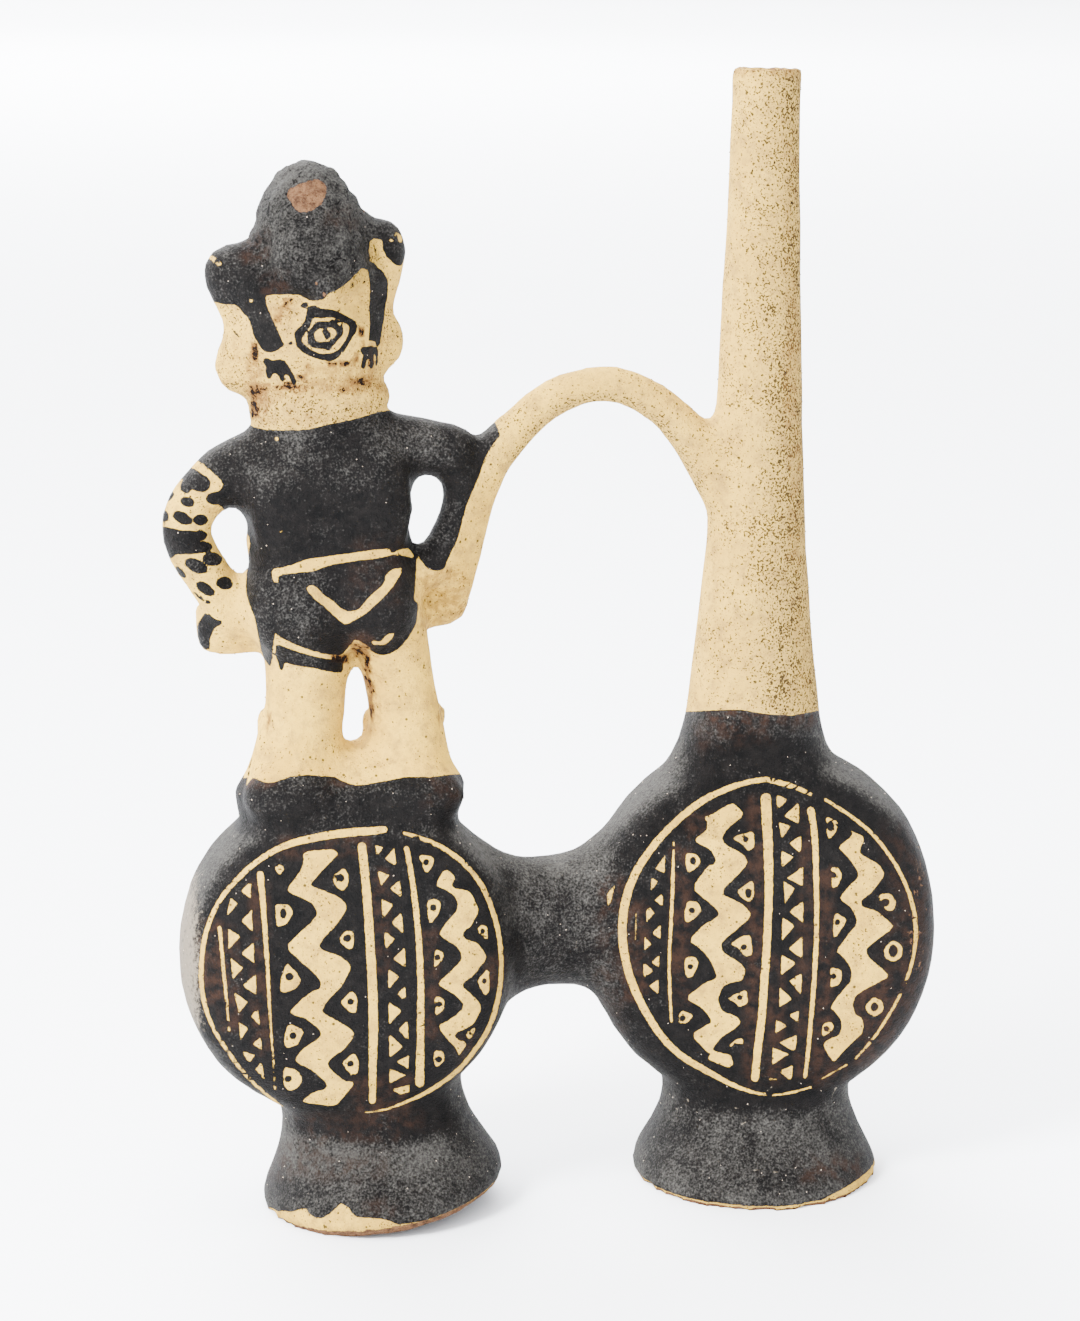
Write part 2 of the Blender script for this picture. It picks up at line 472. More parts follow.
# Each eye is its cream outline, then its dark pupil as a place and two radii
FACE_EYES = {
    "right": [
        (
            ((-2.3, 31.4), (-2, 27.3), (-3.6, 25.9), (-5.5, 28), (-8, 29.5), (-5.5, 30.5)),
            (-4.3, 29.1, 0.8, 0.8)
        ),
        (
            ((-2.3, 18), (-1.8, 13.6), (-3.2, 11.8), (-5.5, 13.2), (-6.4, 15), (-4.5, 16.4)),
            (-3.5, 14.3, 0.9, 1.5)
        ),
        (
            ((-2.7, 2.7), (-2, -2.7), (-4.1, -3.2), (-5.9, -0.9), (-8, 0.2), (-5, 2.3)),
            (-4.4, -0.7, 0.9, 0.9)
        ),
        (
            ((-3.5, -12.7), (-3.2, -16.4), (-5.5, -17.5), (-6.8, -15.9), (-8.9, -15.3), (-5.9, -13.6)),
            (-5.4, -14.8, 0.8, 0.8)
        ),
        (
            ((-8.2, -28.9), (-6.5, -26.8), (-4.5, -26.2), (-4.2, -28), (-5.5, -27.7)),
            (-6.4, -28.2, 0.6, 0.5)
        ),
        (
            ((-20, 25.3), (-17.1, 24.7), (-16.2, 22.7), (-17.3, 21.1), (-19.5, 19.7), (-20.2, 21.8)),
            (-18.2, 23, 0.9, 1.1)
        ),
        (
            ((-19.5, 12), (-16.8, 11.6), (-15.8, 9.5), (-17.3, 7.3), (-20, 5.7), (-20.4, 8.6)),
            (-18.4, 9.3, 0.9, 0.9)
        ),
        (
            ((-20, -3.8), (-17.3, -3.6), (-16.4, -5.5), (-18, -9.1), (-19.5, -9.5), (-20.2, -6.8)),
            (-18.6, -6.4, 0.8, 0.8)
        ),
        (((-21.1, -18.6), (-17.5, -20), (-19.5, -22.3), (-21.8, -22.3)), (-20.5, -20.9, 0.9, 0.9)),
        (((16.6, 35.9), (20, 34.1), (19.5, 31.8), (17.5, 29.3), (16.8, 31.8)), (17.9, 33, 1, 1.5)),
        (
            ((18.2, 21.8), (20.2, 21.6), (21.2, 19.5), (20.2, 16.8), (18.8, 15.9), (18.6, 18)),
            (18.9, 19.7, 0.9, 0.9)
        ),
        (((19.5, 9.5), (22.7, 7.5), (21.8, 5.5), (19.5, 2), (19.1, 4.5)), (20.3, 6.6, 0.8, 0.9)),
        (
            ((18.6, -5.9), (21.4, -6.5), (21.8, -8.6), (20.9, -10.9), (18.8, -11.5), (18.8, -9.5)),
            (19.6, -8.4, 0.8, 0.9)
        ),
        (
            ((17.1, -21.8), (19.1, -21.2), (19.9, -22.7), (18.6, -24.5), (16.8, -25.3)),
            (17.9, -23.2, 0.8, 0.8)
        ),
        (
            ((30.5, 13.6), (32.3, 15), (34.5, 14.5), (35.7, 12.3), (35, 10.2), (33.2, 10)),
            (32.7, 12.3, 1.3, 1.1)
        ),
        (
            ((32.8, -0.5), (35, 2), (37.5, 0.5), (37.6, -2.6), (35.3, -4.2), (33, -2.9)),
            (35.2, -1.1, 1.3, 1.8)
        ),
        (
            ((28.3, -16.3), (30.3, -14), (32.8, -15.3), (33, -18), (30.8, -19.6), (28.6, -18.3)),
            (30.6, -16.8, 1, 1.3)
        )
    ],
    "left": [
        (
            ((-5, 26.5), (-2.3, 28.6), (-1.1, 27.3), (-1.1, 24.1), (-2.5, 22.3), (-4.5, 24.1)),
            (-3, 26, 1.1, 1.1)
        ),
        (
            ((-3.4, 10), (-1.8, 11.8), (0.2, 11.4), (0, 6.8), (-1.4, 6.8), (-3.2, 8.6)),
            (-1.5, 9.7, 1.1, 1.1)
        ),
        (
            ((-3.4, -7.5), (-0.5, -4.5), (0.9, -6.4), (0.6, -10.5), (-0.9, -10.6), (-2.7, -8.6)),
            (-0.9, -7.6, 0.9, 0.9)
        ),
        (
            ((-3.2, -24.1), (-0.2, -21.5), (1.1, -24.1), (0.7, -27.3), (-0.9, -27.5), (-2.3, -25.9)),
            (-1.1, -24.5, 0.9, 0.9)
        ),
        (((-20, 29.5), (-18.6, 30.3), (-17.3, 29.3), (-18.6, 27.3)), (-18.6, 29, 0.4, 0.4)),
        (
            ((-19.8, 19.7), (-16.4, 19.4), (-15.2, 17.3), (-16.8, 14.5), (-19.5, 13.4), (-19.7, 16.8)),
            (-17.9, 17, 0.9, 1.6)
        ),
        (
            ((-17.3, 3.8), (-15, 1.4), (-13.5, -1.4), (-15.5, -3.6), (-18.9, -4.3), (-18.9, -0.9)),
            (-16.6, 0, 1.1, 1.1)
        ),
        (((-17.1, -12.7), (-13, -14.7), (-14.7, -18.6), (-18, -19.5), (-18.2, -16.4)), (-16, -16.1, 1, 1)),
        (
            ((-18.6, -24.5), (-15, -25.6), (-13.6, -28.2), (-15, -30.5), (-17.3, -31.2), (-18.6, -29.5)),
            (-17.4, -27.9, 1, 1)
        ),
        (((17.3, 31.5), (20.9, 30.7), (21.2, 28.6), (19.1, 26.2), (18.2, 28.2)), (19.2, 29.3, 0.9, 0.9)),
        (
            ((19.3, 18.6), (21.4, 19.5), (22.9, 18.2), (22.3, 15.5), (20, 12.5), (19.5, 15)),
            (20.9, 16.9, 0.9, 1.1)
        ),
        (((21.4, 5.9), (23.6, 4.5), (23.2, 2.7), (20.9, 0.5), (21.1, 3.2)), (21.9, 3.5, 0.8, 0.8)),
        (
            ((20.9, -8.2), (21.8, -7), (23.6, -8.2), (23.5, -10.9), (21.1, -12.5), (21.4, -10)),
            (22.2, -9.3, 0.8, 0.8)
        ),
        (((20.9, -22), (23.2, -22.3), (23.5, -25), (21.4, -26.8), (20.7, -24.5)), (22.1, -24.5, 0.9, 0.9)),
        (((32.3, 10.5), (33.6, 12), (35, 11.1), (35, 7.7), (34.1, 8.2)), (33.7, 10, 0.7, 0.8)),
        (((32.3, -3.2), (35.3, 0), (35.5, -6.4), (34.4, -7.7), (32.9, -5)), (34.1, -3.5, 0.7, 0.8)),
        (((29.1, -17.7), (31.8, -15.9), (31.2, -18.2), (30, -19.5)), (30.4, -17.8, 0.5, 0.5))
    ],
}
# Places where the dark slip is thin and brown: middle, half sizes and how much
FACE_THIN = {
    "right": [
        (-33.5, -2.5, 2.5, 13, 0.8), (-21.5, 5, 1.6, 21, 0.8), (-1.5, 0, 1.6, 40, 0.75),
        (4.2, -21, 1.2, 17, 0.7), (11.8, 0, 1, 36, 0.6), (16.8, -7, 1.3, 28, 0.8), (-16, 32, 3.5, 3, 0.7),
        (31.5, -20, 5, 13, 0.8), (19, -36.5, 4, 2, 0.7), (-39.5, 13, 2.5, 4, 0.9), (42, 0, 3.5, 29, 0.55),
        (-40, -8, 3, 18, 0.35)
    ],
    "left": [
        (-32, 0, 1.6, 13, 0.7), (-36.6, 5, 2, 10, 0.9), (-24, 2, 1.4, 23, 0.7), (7, 14, 1.4, 13, 0.7),
        (19.6, -4, 1.5, 14, 0.7), (37, -1, 1.4, 3.5, 1), (-7, 34.6, 11, 1.8, 0.6), (7, -33.5, 7, 4, 0.7),
        (33, -28, 5, 9, 0.6), (0, -42, 16, 3, 0.5)
    ],
}
# How far from its edge a stroke's distance is kept, and the round face's reach and least depth
FIELD_REACH = 4.0
FACE_RADIUS = 48.0
FACE_OUT = 9.0
FACE_TOP = 121.0


def softened(outline, times=1):
    """An outline with its corners cut, as a brush goes round them."""
    at = np.array(outline, float)
    for _ in range(times):
        after = np.roll(at, -1, 0)
        at = np.stack([0.82 * at + 0.18 * after, 0.18 * at + 0.82 * after], 1).reshape(-1, 2)
    return at


def patch(outline, times=1):
    """A filled outline, as a function from points to millimetres outside its edge."""
    edge = softened(outline, times)
    low, high = edge.min(0) - FIELD_REACH, edge.max(0) + FIELD_REACH

    def outside(at):
        near, within = np.full(len(at), 1e9), np.zeros(len(at), bool)
        for a, b in zip(edge, np.roll(edge, -1, 0)):
            way = b - a
            share = np.clip(((at - a) @ way) / max(way @ way, 1e-9), 0.0, 1.0)
            near = np.minimum(near, np.hypot(*(at - a - share[:, None] * way).T))
            if a[1] != b[1]:
                level = a[0] + (at[:, 1] - a[1]) * way[0] / way[1]
                within ^= ((a[1] > at[:, 1]) != (b[1] > at[:, 1])) & (at[:, 0] < level)
        return np.where(within, -near, near)

    return outside, low, high


def stroke(line, times=2):
    """A brush stroke through (across, up, width) points, going round its corners."""
    line = np.array(line, float)
    for _ in range(times):
        cuts = [0.75 * line[:-1] + 0.25 * line[1:], 0.25 * line[:-1] + 0.75 * line[1:]]
        cuts = np.stack(cuts, 1).reshape(-1, 3)
        line = np.concatenate([line[:1], cuts[1:-1], line[-1:]]) if len(line) > 2 else line
    low, high = line[:, :2].min(0) - FIELD_REACH, line[:, :2].max(0) + FIELD_REACH

    def outside(at):
        near = np.full(len(at), 1e9)
        for a, b in zip(line, line[1:]):
            way = b[:2] - a[:2]
            share = np.clip(((at - a[:2]) @ way) / max(way @ way, 1e-9), 0.0, 1.0)
            width = a[2] + share * (b[2] - a[2])
            near = np.minimum(near, np.hypot(*(at - a[:2] - share[:, None] * way).T) - 0.5 * width)
        return near

    return outside, low, high


def spot(across, up, wide, high, tilt=0.0):
    """An oval dab with two radii, turned by tilt degrees."""
    c, s = math.cos(math.radians(tilt)), math.sin(math.radians(tilt))
    reach = max(wide, high) + FIELD_REACH

    def outside(at):
        x, y = at[:, 0] - across, at[:, 1] - up
        x, y = (x * c + y * s) / wide, (y * c - x * s) / high
        return (np.hypot(x, y) - 1.0) * min(wide, high)

    return outside, np.array((across, up)) - reach, np.array((across, up)) + reach


def laid(paint, at, shapes, dark, where=None):
    """Paints shapes over what is there: paint is millimetres into the dark slip, below nothing in the cream.

    where, if given, says which points the brush can reach.
    """
    for outside, low, high in shapes:
        near = np.flatnonzero(((at > low) & (at < high)).all(1))
        if where is not None:
            near = near[where[near]]
        if len(near):
            there = outside(at[near])
            paint[near] = np.maximum(paint[near], -there) if dark else np.minimum(paint[near], there)


def thinned(amount, at, places, fade=2.2):
    """Adds soft-edged places of (across, up, half width, half height, strength)."""
    for across, up, wide, high, strength in places:
        beside = np.maximum(np.abs(at[:, 0] - across) - wide, 0.0)
        gap = np.hypot(beside, np.maximum(np.abs(at[:, 1] - up) - high, 0.0))
        amount = np.maximum(amount, strength * np.clip(1.0 - gap / fade, 0.0, 1.0))
    return amount


def face_painting(side, at):
    """The dark slip's field at points of a round face."""
    paint = np.full(len(at), FIELD_REACH)
    cream = [stroke(line) for line in FACE_RINGS[side] + FACE_STRIPES[side]]
    cream += [patch(outline) for outline in FACE_ZIGZAGS[side]]
    cream += [patch(outline, 0) for outline in FACE_TRIANGLES[side]]
    cream += [patch(outline) for outline, pupil in FACE_EYES[side]]
    laid(paint, at, cream, False)
    laid(paint, at, [spot(*pupil) for outline, pupil in FACE_EYES[side]], True)
    return paint


# The painting on the figure, handle and spout
# All cream first. Dark slip then makes the cap with its lobes and straps, the eye round the whistle
# hole, the shirt, the spotted arm, the loincloth and the band under the heels.

FIGURE_BORDER = (
    (-110, 117), (-85, 118.8), (-81.9, 118.8), (-78.5, 117.2), (-76.5, 117.1), (-71.9, 118.5),
    (-67.3, 118.7), (-63.5, 118.1), (-60.4, 117.8), (-57.7, 116.2), (-55, 115.2), (-51.9, 115.2),
    (-48.1, 115.8), (-41.2, 116.7), (-35, 116.3), (-29.6, 116.7), (-25.4, 116.7), (-5, 117)
)
SPOUT_BORDER = (
    (5, 131), (34, 130.6), (46, 130.6), (50, 130.4), (56, 129), (64, 128), (71, 129), (110, 129)
)
CAP = (
    (-82, 257.5), (-82, 261), (-80.4, 266), (-78.6, 270.5), (-75, 275), (-71.5, 282), (-65.8, 287),
    (-59.5, 285), (-53.5, 280), (-50.2, 271.5), (-49, 267), (-47.5, 267.4), (-44.6, 268.4), (-40.6, 268.4),
    (-36, 263.5), (-36.2, 257.6), (-39.9, 254.8), (-41.1, 251), (-43, 251.3), (-45.2, 253.5),
    (-46.1, 255.4), (-46.1, 257.8), (-49.1, 258.2), (-49.6, 255.4), (-49.3, 252.6), (-50, 249.9),
    (-51.4, 250.9), (-54.9, 247.3), (-58, 245.1), (-60.2, 244.4), (-61.1, 243.2), (-63.3, 242.8),
    (-65.5, 243), (-66.8, 243.8), (-68, 244.3), (-71.1, 244.4), (-76, 244.4), (-76.1, 242.9), (-75.5, 241),
    (-74.3, 237.9), (-72.1, 232.9), (-71.4, 231.6), (-74.3, 229.9), (-76.4, 229.9), (-77.7, 231),
    (-79.3, 234.1), (-80.5, 238.5), (-83.9, 242.3), (-85.8, 242.1), (-87.7, 242.6), (-91.4, 243.4),
    (-96, 247), (-98, 252), (-97, 258.5), (-92, 262.5), (-86, 262), (-83, 260)
)
RIGHT_STRAP = (
    (-50, 251), (-49.4, 246), (-49.8, 241), (-49.6, 236.6), (-49.9, 234.1), (-50, 231), (-47.1, 230.4),
    (-46.4, 234.8), (-45.8, 238.5), (-45.2, 242.3), (-44.7, 245.4), (-44.9, 247.9), (-46.1, 249.8),
    (-48, 251.6), (-49.3, 252.8)
)
LEFT_HAND = (
    (-77.3, 228.6), (-75.8, 228.5), (-74.9, 227.9), (-72.7, 228.1), (-71.4, 227.6), (-70.5, 226),
    (-69.3, 224.1), (-68.5, 222.3), (-68.8, 221.2), (-69.6, 221.3), (-70.2, 222.9), (-71.1, 224.4),
    (-71.8, 223.5), (-71.6, 222.6), (-72.7, 222.1), (-73.1, 223.5), (-73.9, 224.4), (-74.9, 224.4),
    (-75, 223.2), (-76.1, 223), (-76.6, 224.8), (-76.4, 226.3), (-77.1, 227.3)
)
RIGHT_HAND = (
    (-52.1, 230.7), (-50.8, 230.7), (-48.6, 230.7), (-47.5, 230.4), (-47.7, 225.7), (-48.3, 225.5),
    (-48.2, 227.9), (-48.6, 229.1), (-48.9, 225.1), (-49.6, 224.9), (-49.9, 225.1), (-49.6, 227.6),
    (-50.5, 227.3), (-50.8, 226), (-51.1, 224.9), (-52.1, 225.1), (-51.8, 226.9), (-51.4, 228.5),
    (-52.2, 229.4)
)
# The eye round the whistle hole, from its outer line's outer edge to its pupil
EYE_LINES = (
    (
        (-65.8, 239.7), (-65.5, 240.8), (-64.7, 241.4), (-63.6, 241.5), (-62.7, 240.8), (-61.8, 240.5),
        (-60, 240.4), (-58.1, 239.9), (-56.3, 238.8), (-54, 237.6), (-53, 237), (-52.7, 236.2),
        (-53.1, 234.9), (-54, 233.5), (-55, 232), (-56.1, 230.1), (-57.5, 228.5), (-58.8, 227.6),
        (-60, 227.3), (-62, 227.6), (-63.8, 228.2), (-65.6, 229), (-67.2, 230.1), (-68.4, 231.3),
        (-68.8, 232.9), (-68.9, 234.7), (-68.1, 235.6), (-67.1, 236.3), (-66.4, 237.4), (-66, 238.3)
    ),
    (
        (-63.8, 238.6), (-62.5, 238.4), (-60.6, 238.5), (-59.3, 238.5), (-57.9, 238), (-56.5, 237.2),
        (-55.1, 236.4), (-54.7, 235.5), (-55.1, 234), (-55.8, 232.4), (-56.8, 231), (-57.9, 229.9),
        (-59.3, 229.3), (-60.6, 229), (-62, 229), (-63.4, 229.5), (-65, 230.2), (-66.3, 231.3),
        (-67.1, 232.2), (-67.1, 233.3), (-66.5, 234.3), (-65.6, 235.5), (-65, 236.5), (-64.5, 237.8)
    ),
    (
        (-64.2, 236.3), (-63.6, 236.8), (-62.7, 237.4), (-61.5, 237.3), (-60, 237.2), (-59.4, 237.8),
        (-58.6, 237.6), (-58.2, 237), (-57.8, 236.3), (-56.9, 235.9), (-56.4, 234.9), (-56.8, 233.8),
        (-57.7, 232.9), (-58.8, 231.6), (-59.6, 230.6), (-60.1, 230), (-60.6, 230.1), (-61.1, 230.4),
        (-62.9, 230.5), (-64.3, 230.9), (-65.2, 231.6), (-65.6, 232), (-65.6, 233.1), (-65.5, 234.5),
        (-65.1, 235.2), (-64.3, 235.7)
    ),
    (
        (-64, 234.5), (-63.7, 234.9), (-62.9, 235.5), (-62, 235.9), (-60.6, 236), (-59.3, 235.8),
        (-58.4, 235.2), (-58.1, 234.2), (-58.6, 233.3), (-59.7, 232.4), (-60.9, 232.2), (-62.2, 232),
        (-63.4, 232.3), (-63.9, 233.1)
    )
)
PUPIL = (
    (-61.9, 235), (-61.3, 235.6), (-60.8, 235.5), (-60.4, 234.9), (-59.6, 234), (-60, 233.3),
    (-60.5, 232.8), (-61.1, 233.1), (-61.3, 233.8), (-61.7, 234.5)
)
HEAD_DOTS = ((-66.3, 241.7, 0.85, 0.7), (-70, 232.1, 0.5, 0.4))
HEAD_CURVE = ((-85.2, 236.6, 0.4), (-84.3, 235.4, 0.5), (-83, 234, 0.4))
SHIRT = (
    (-80.1, 211), (-76.3, 210.1), (-70.5, 209.8), (-65.5, 209.9), (-61.3, 210.9), (-57.2, 211.6),
    (-53, 212.4), (-48, 213.8), (-43.4, 214.3), (-35, 216), (-18, 212), (-15.5, 207), (-17.6, 204.5),
    (-19.7, 201.2), (-21.8, 195.3), (-24.3, 189.9), (-25.9, 184.5), (-27.2, 179.5), (-29.7, 174.9),
    (-30.5, 172.4), (-32.2, 171.6), (-34.7, 172), (-36.3, 173.7), (-37.6, 175.8), (-38.4, 177.8),
    (-38, 175), (-38.4, 167.8), (-38.8, 164), (-37.6, 163.4), (-38, 159.5), (-38.4, 157.4), (-41.3, 152.8),
    (-44.7, 150.2), (-48, 149.8), (-50.5, 151.2), (-50.7, 152.2), (-54.3, 154.5), (-55.9, 152.8),
    (-58, 150.2), (-62.2, 150.8), (-66.3, 152), (-71.3, 154.3), (-74.7, 156.2), (-75.3, 157.2),
    (-76, 152.4), (-76.1, 150.3), (-76.8, 148), (-78.8, 151.2), (-79.7, 156.2), (-80.5, 161.2),
    (-81.8, 164.5), (-82.8, 168.7), (-82.2, 174.5), (-82, 176.2), (-81.3, 182), (-83, 185.3),
    (-85.5, 189.1), (-88, 189.8), (-88.8, 191.2), (-91.3, 191.2), (-92.6, 192.8), (-91.8, 194.1),
    (-88.8, 194.9), (-87.8, 196.2), (-88.4, 197.4), (-90.5, 199.5), (-92.6, 201.6), (-95.5, 203.5),
    (-99, 206), (-98, 216), (-84, 214)
)
BELT = (
    (-75.9, 173.8), (-72.2, 174.3), (-66.3, 176.2), (-61.3, 176.6), (-54.7, 177.3), (-48, 178),
    (-45.3, 178), (-44.7, 176.8), (-42.2, 177.7), (-40.1, 178), (-38.8, 176.2), (-37.6, 174.1),
    (-38.4, 175.3), (-39.7, 175.5), (-42.2, 176.3), (-44.7, 176.3), (-49.7, 175.5), (-54.7, 175.2),
    (-61.3, 174.3), (-64.7, 173), (-67.2, 172.8), (-74.3, 172.4), (-74.3, 169.6), (-75.7, 171.2)
)
CHEVRON = (
    (-67.2, 168.7), (-65.5, 169.3), (-64.3, 168.7), (-62.6, 166.6), (-59.7, 164.5), (-58, 162.7),
    (-55.9, 161.8), (-53.4, 162.2), (-52.2, 163.7), (-49.7, 166.2), (-46.3, 169.1), (-46.2, 171.2),
    (-44.3, 172.7), (-41.8, 172.8), (-41.5, 172.3), (-42.6, 170.8), (-43.8, 168.7), (-46.8, 165.3),
    (-50.5, 162), (-53, 160.3), (-57, 158.3), (-58.8, 159.9), (-62.6, 163.7), (-65.5, 166.2)
)
HEM_BAND = (
    (-75.1, 154.3), (-70.5, 152.2), (-64.7, 150.2), (-57.6, 148.7), (-57.8, 145.8), (-60.1, 145.8),
    (-64.7, 147), (-70.5, 148.3), (-73, 149.1), (-73.4, 147), (-74.3, 147.2), (-74.7, 149.5),
    (-75.5, 151.2)
)
HEM_STROKE = (
    (-50.1, 153.7), (-47.6, 153.5), (-45.9, 155.3), (-44, 155.6), (-44.7, 154.3), (-46.3, 152.7),
    (-49.7, 152.7)
)
TABLET_CORNER = (
    (-93, 163.7), (-91.3, 161.8), (-88.4, 160.5), (-89.3, 159.9), (-90.9, 159.1), (-92.2, 156.2),
    (-92.3, 152.8), (-93.8, 153.7), (-96, 156.2), (-95.4, 160.3)
)
ARM_BLOTCH = (
    (-99.2, 199.2), (-98.7, 200.5), (-97.2, 201.6), (-96, 201), (-94.9, 200.6), (-93.5, 199.5),
    (-92, 198.6), (-91, 197.2), (-91.2, 195.7), (-92.5, 194.5), (-94.5, 194.7), (-96, 195.4),
    (-96.7, 194.3), (-98.2, 194.5), (-99.1, 195.7), (-98.7, 197.2), (-98, 198), (-99, 198.2)
)
ARM_BAND = (
    (-107, 186.4), (-104.2, 186.1), (-102.5, 185.9), (-99, 185), (-96, 184.7), (-93, 184.5), (-92, 183.5),
    (-92.7, 182.3), (-94.5, 181.8), (-91.5, 181.5), (-90.9, 180.2), (-91.7, 179.2), (-94.5, 178.7),
    (-97.5, 178.6), (-100.5, 178.7), (-101.5, 177.7), (-104.5, 177.5), (-107, 180)
)
ARM_SPOTS = (
    (-101.9, 193.9, 1.6, 1.15, 45), (-97.1, 192.2, 1.95, 1.3, -20), (-103.4, 189, 1.9, 1.3, -60),
    (-98.5, 188.1, 2.75, 1.5, -30), (-93.9, 187.4, 1.9, 1.5, -5), (-95.3, 175.5, 3.3, 1.75, -28),
    (-91.1, 177.1, 2.55, 1.85, -10), (-99.2, 174, 1.9, 0.8, -52), (-93.1, 169.5, 2.95, 1.4, -38),
    (-88.1, 170.7, 2.25, 1.65, -10), (-94.4, 167.2, 2.4, 0.45, -42), (-92.6, 166, 0.9, 0.5, -20)
)
BARE_CHIPS = (
    (
        (-69.8, 270.7), (-68, 271.6), (-65.5, 272.7), (-61.8, 273.2), (-60.5, 271.9), (-60.2, 270.7),
        (-60.5, 268.5), (-62.4, 266), (-65.2, 264.9), (-68, 265.4), (-69.6, 267.9), (-70.5, 269.4)
    ),
)
BARE_SPOTS = (
    (-63.3, 246.6, 0.8, 0.8), (-61.1, 244.1, 0.4, 0.4), (-63.8, 198.7, 0.9, 0.6),
    (-50.6, 265.4, 1.2, 0.4, 8)
)
CREAM_FLAKES = (
    (-89.2, 253.8, 1.5, 0.55, -30), (-88, 252.4, 0.9, 0.5, 20), (-91.2, 256, 0.6, 0.35),
    (-92.6, 252.4, 0.4, 0.8), (-42.8, 259.4, 0.45, 0.8, 20), (-41.6, 258, 0.5, 0.9, 10),
    (-40.9, 260.3, 0.5, 0.4), (-43.8, 257.6, 0.5, 0.35), (-79.8, 243.1, 0.45, 0.4),
    (-74, 207.7, 0.45, 0.45), (-73.2, 183.7, 0.4, 0.4), (-39.6, 256.6, 0.4, 0.6)
)
CUFF = ((-52, 232.4), (-47.6, 231.9), (-47.6, 230.9), (-52, 231.2))
# Thin scratches and flecks where the dark slip has gone pale, as strokes
PALE_STROKES = (
    ((-75.7, 199.7, 0.6), (-74.6, 197.6, 0.8), (-73.4, 194.8, 0.5)), ((-50, 8, 0.6), (-45, 9.5, 0.9)),
    ((38, 14, 0.6), (41, 14.5, 0.8)), ((50, 17, 0.7), (53, 16, 0.5)), ((52, 12, 0.5), (56, 13.5, 0.7)),
    ((53, 8, 0.5), (57, 6.5, 0.7)), ((55, -1.5, 0.5), (63, -3, 0.6)), ((24.5, 14, 0.6), (24.3, 9.5, 0.5)),
    ((31, 20, 0.5), (34, 17.5, 0.6)), ((29.5, 12, 0.5), (32.5, 10.6, 0.5)),
    ((35, 23, 0.4), (37, 19.5, 0.5)), ((58, 20, 0.5), (60.5, 22.4, 0.5)),
    ((47, 12.5, 0.4), (49.4, 9.4, 0.6)), ((61, 9, 0.4), (64.5, 11.5, 0.5)),
    ((66, 17, 0.4), (68.6, 14.2, 0.5)), ((40, 5, 0.4), (44, 3.6, 0.4)), ((26, 5.5, 0.4), (28.6, 8, 0.4)),
    ((79.5, 9, 0.6), (79.7, 2, 0.5)), ((77.5, 17, 0.5), (79, 21, 0.6)), ((4, 66, 0.8), (6, 70, 0.6)),
    ((-7, 60, 0.7), (-4, 63, 0.8)), ((-6, 58, 0.6), (-4.6, 60.5, 0.6)), ((5, 75, 0.7), (8, 77.5, 0.6))
)
CRACKS = (
    ((-74.2, 107.7, 0.4), (-69.6, 106.2, 0.7), (-61.9, 105.2, 0.5), (-56.5, 106.5, 0.7), (-52, 106, 0.3)),
    ((-42, 107, 0.4), (-33, 106.2, 0.6), (-28, 107.4, 0.3)), ((-71, 106.4, 0.4), (-71.4, 104, 0.3)),
    ((-77, 270, 0.5), (-74.5, 267, 0.9), (-75.5, 264, 0.6), (-72, 261.5, 0.4)),
    ((-60.5, 268, 0.5), (-57.5, 266.4, 0.9), (-55, 269.5, 0.7), (-54.5, 272.5, 0.4)),
    ((-79, 262, 0.5), (-78.4, 258, 0.8), (-76, 255.6, 0.5)),
    ((-70, 262, 0.4), (-67, 261.2, 0.8), (-65.6, 259.4, 0.4)),
    ((-61.6, 260.6, 0.5), (-59.6, 261.2, 0.8), (-58.6, 259.6, 0.4)),
    ((-66.6, 249.6, 0.5), (-66.2, 246.4, 0.9), (-64.6, 245, 0.4)),
    ((-82.9, 119.2, 0.4), (-82.8, 123.1, 0.5), (-81.6, 125, 0.3))
)
PITS = (
    (-79.2, 107.1, 1.0, 0.8), (57, 246.4, 0.7, 0.6), (-71.8, 137.5, 0.4, 0.4), (-35.8, 138.2, 0.5, 0.5),
    (-43.3, 128.5, 0.4, 0.4), (44.7, 9.2, 1.2, 0.6), (-61, 148.2, 0.4, 0.4), (-40.9, 134.4, 0.4, 0.4),
    (-66, 132, 0.3, 0.3), (-74, 121, 0.3, 0.3), (31.4, 128.4, 0.8, 1.0), (-83.5, 262.6, 0.5, 0.5)
)
# How far the slip stops short of the table, along each foot
LEFT_SOLE = (
    (-82, 0.4), (-80, 0.8), (-76, 3.2), (-74, 3.6), (-70, 5.4), (-68.5, 3.8), (-66, 3.4), (-63, 5.0),
    (-60.5, 7.2), (-58, 6.2), (-57, 4.2), (-54, 3.8), (-50, 3.2), (-47, 2.4), (-45.5, 1.0), (-37, 0.3),
    (-17, 0.6)
)
RIGHT_SOLE = (
    (21, 0.9), (33, 1.1), (46, 1.4), (60, 1.2), (75, 1.3), (79, 2.2), (85, 3.2), (89, 3.4), (92, 2.6)
)
# The left foot leans about the edge that it stands on
FOOT_LEAN = math.radians(7.0)
FOOT_HEEL = 78.5
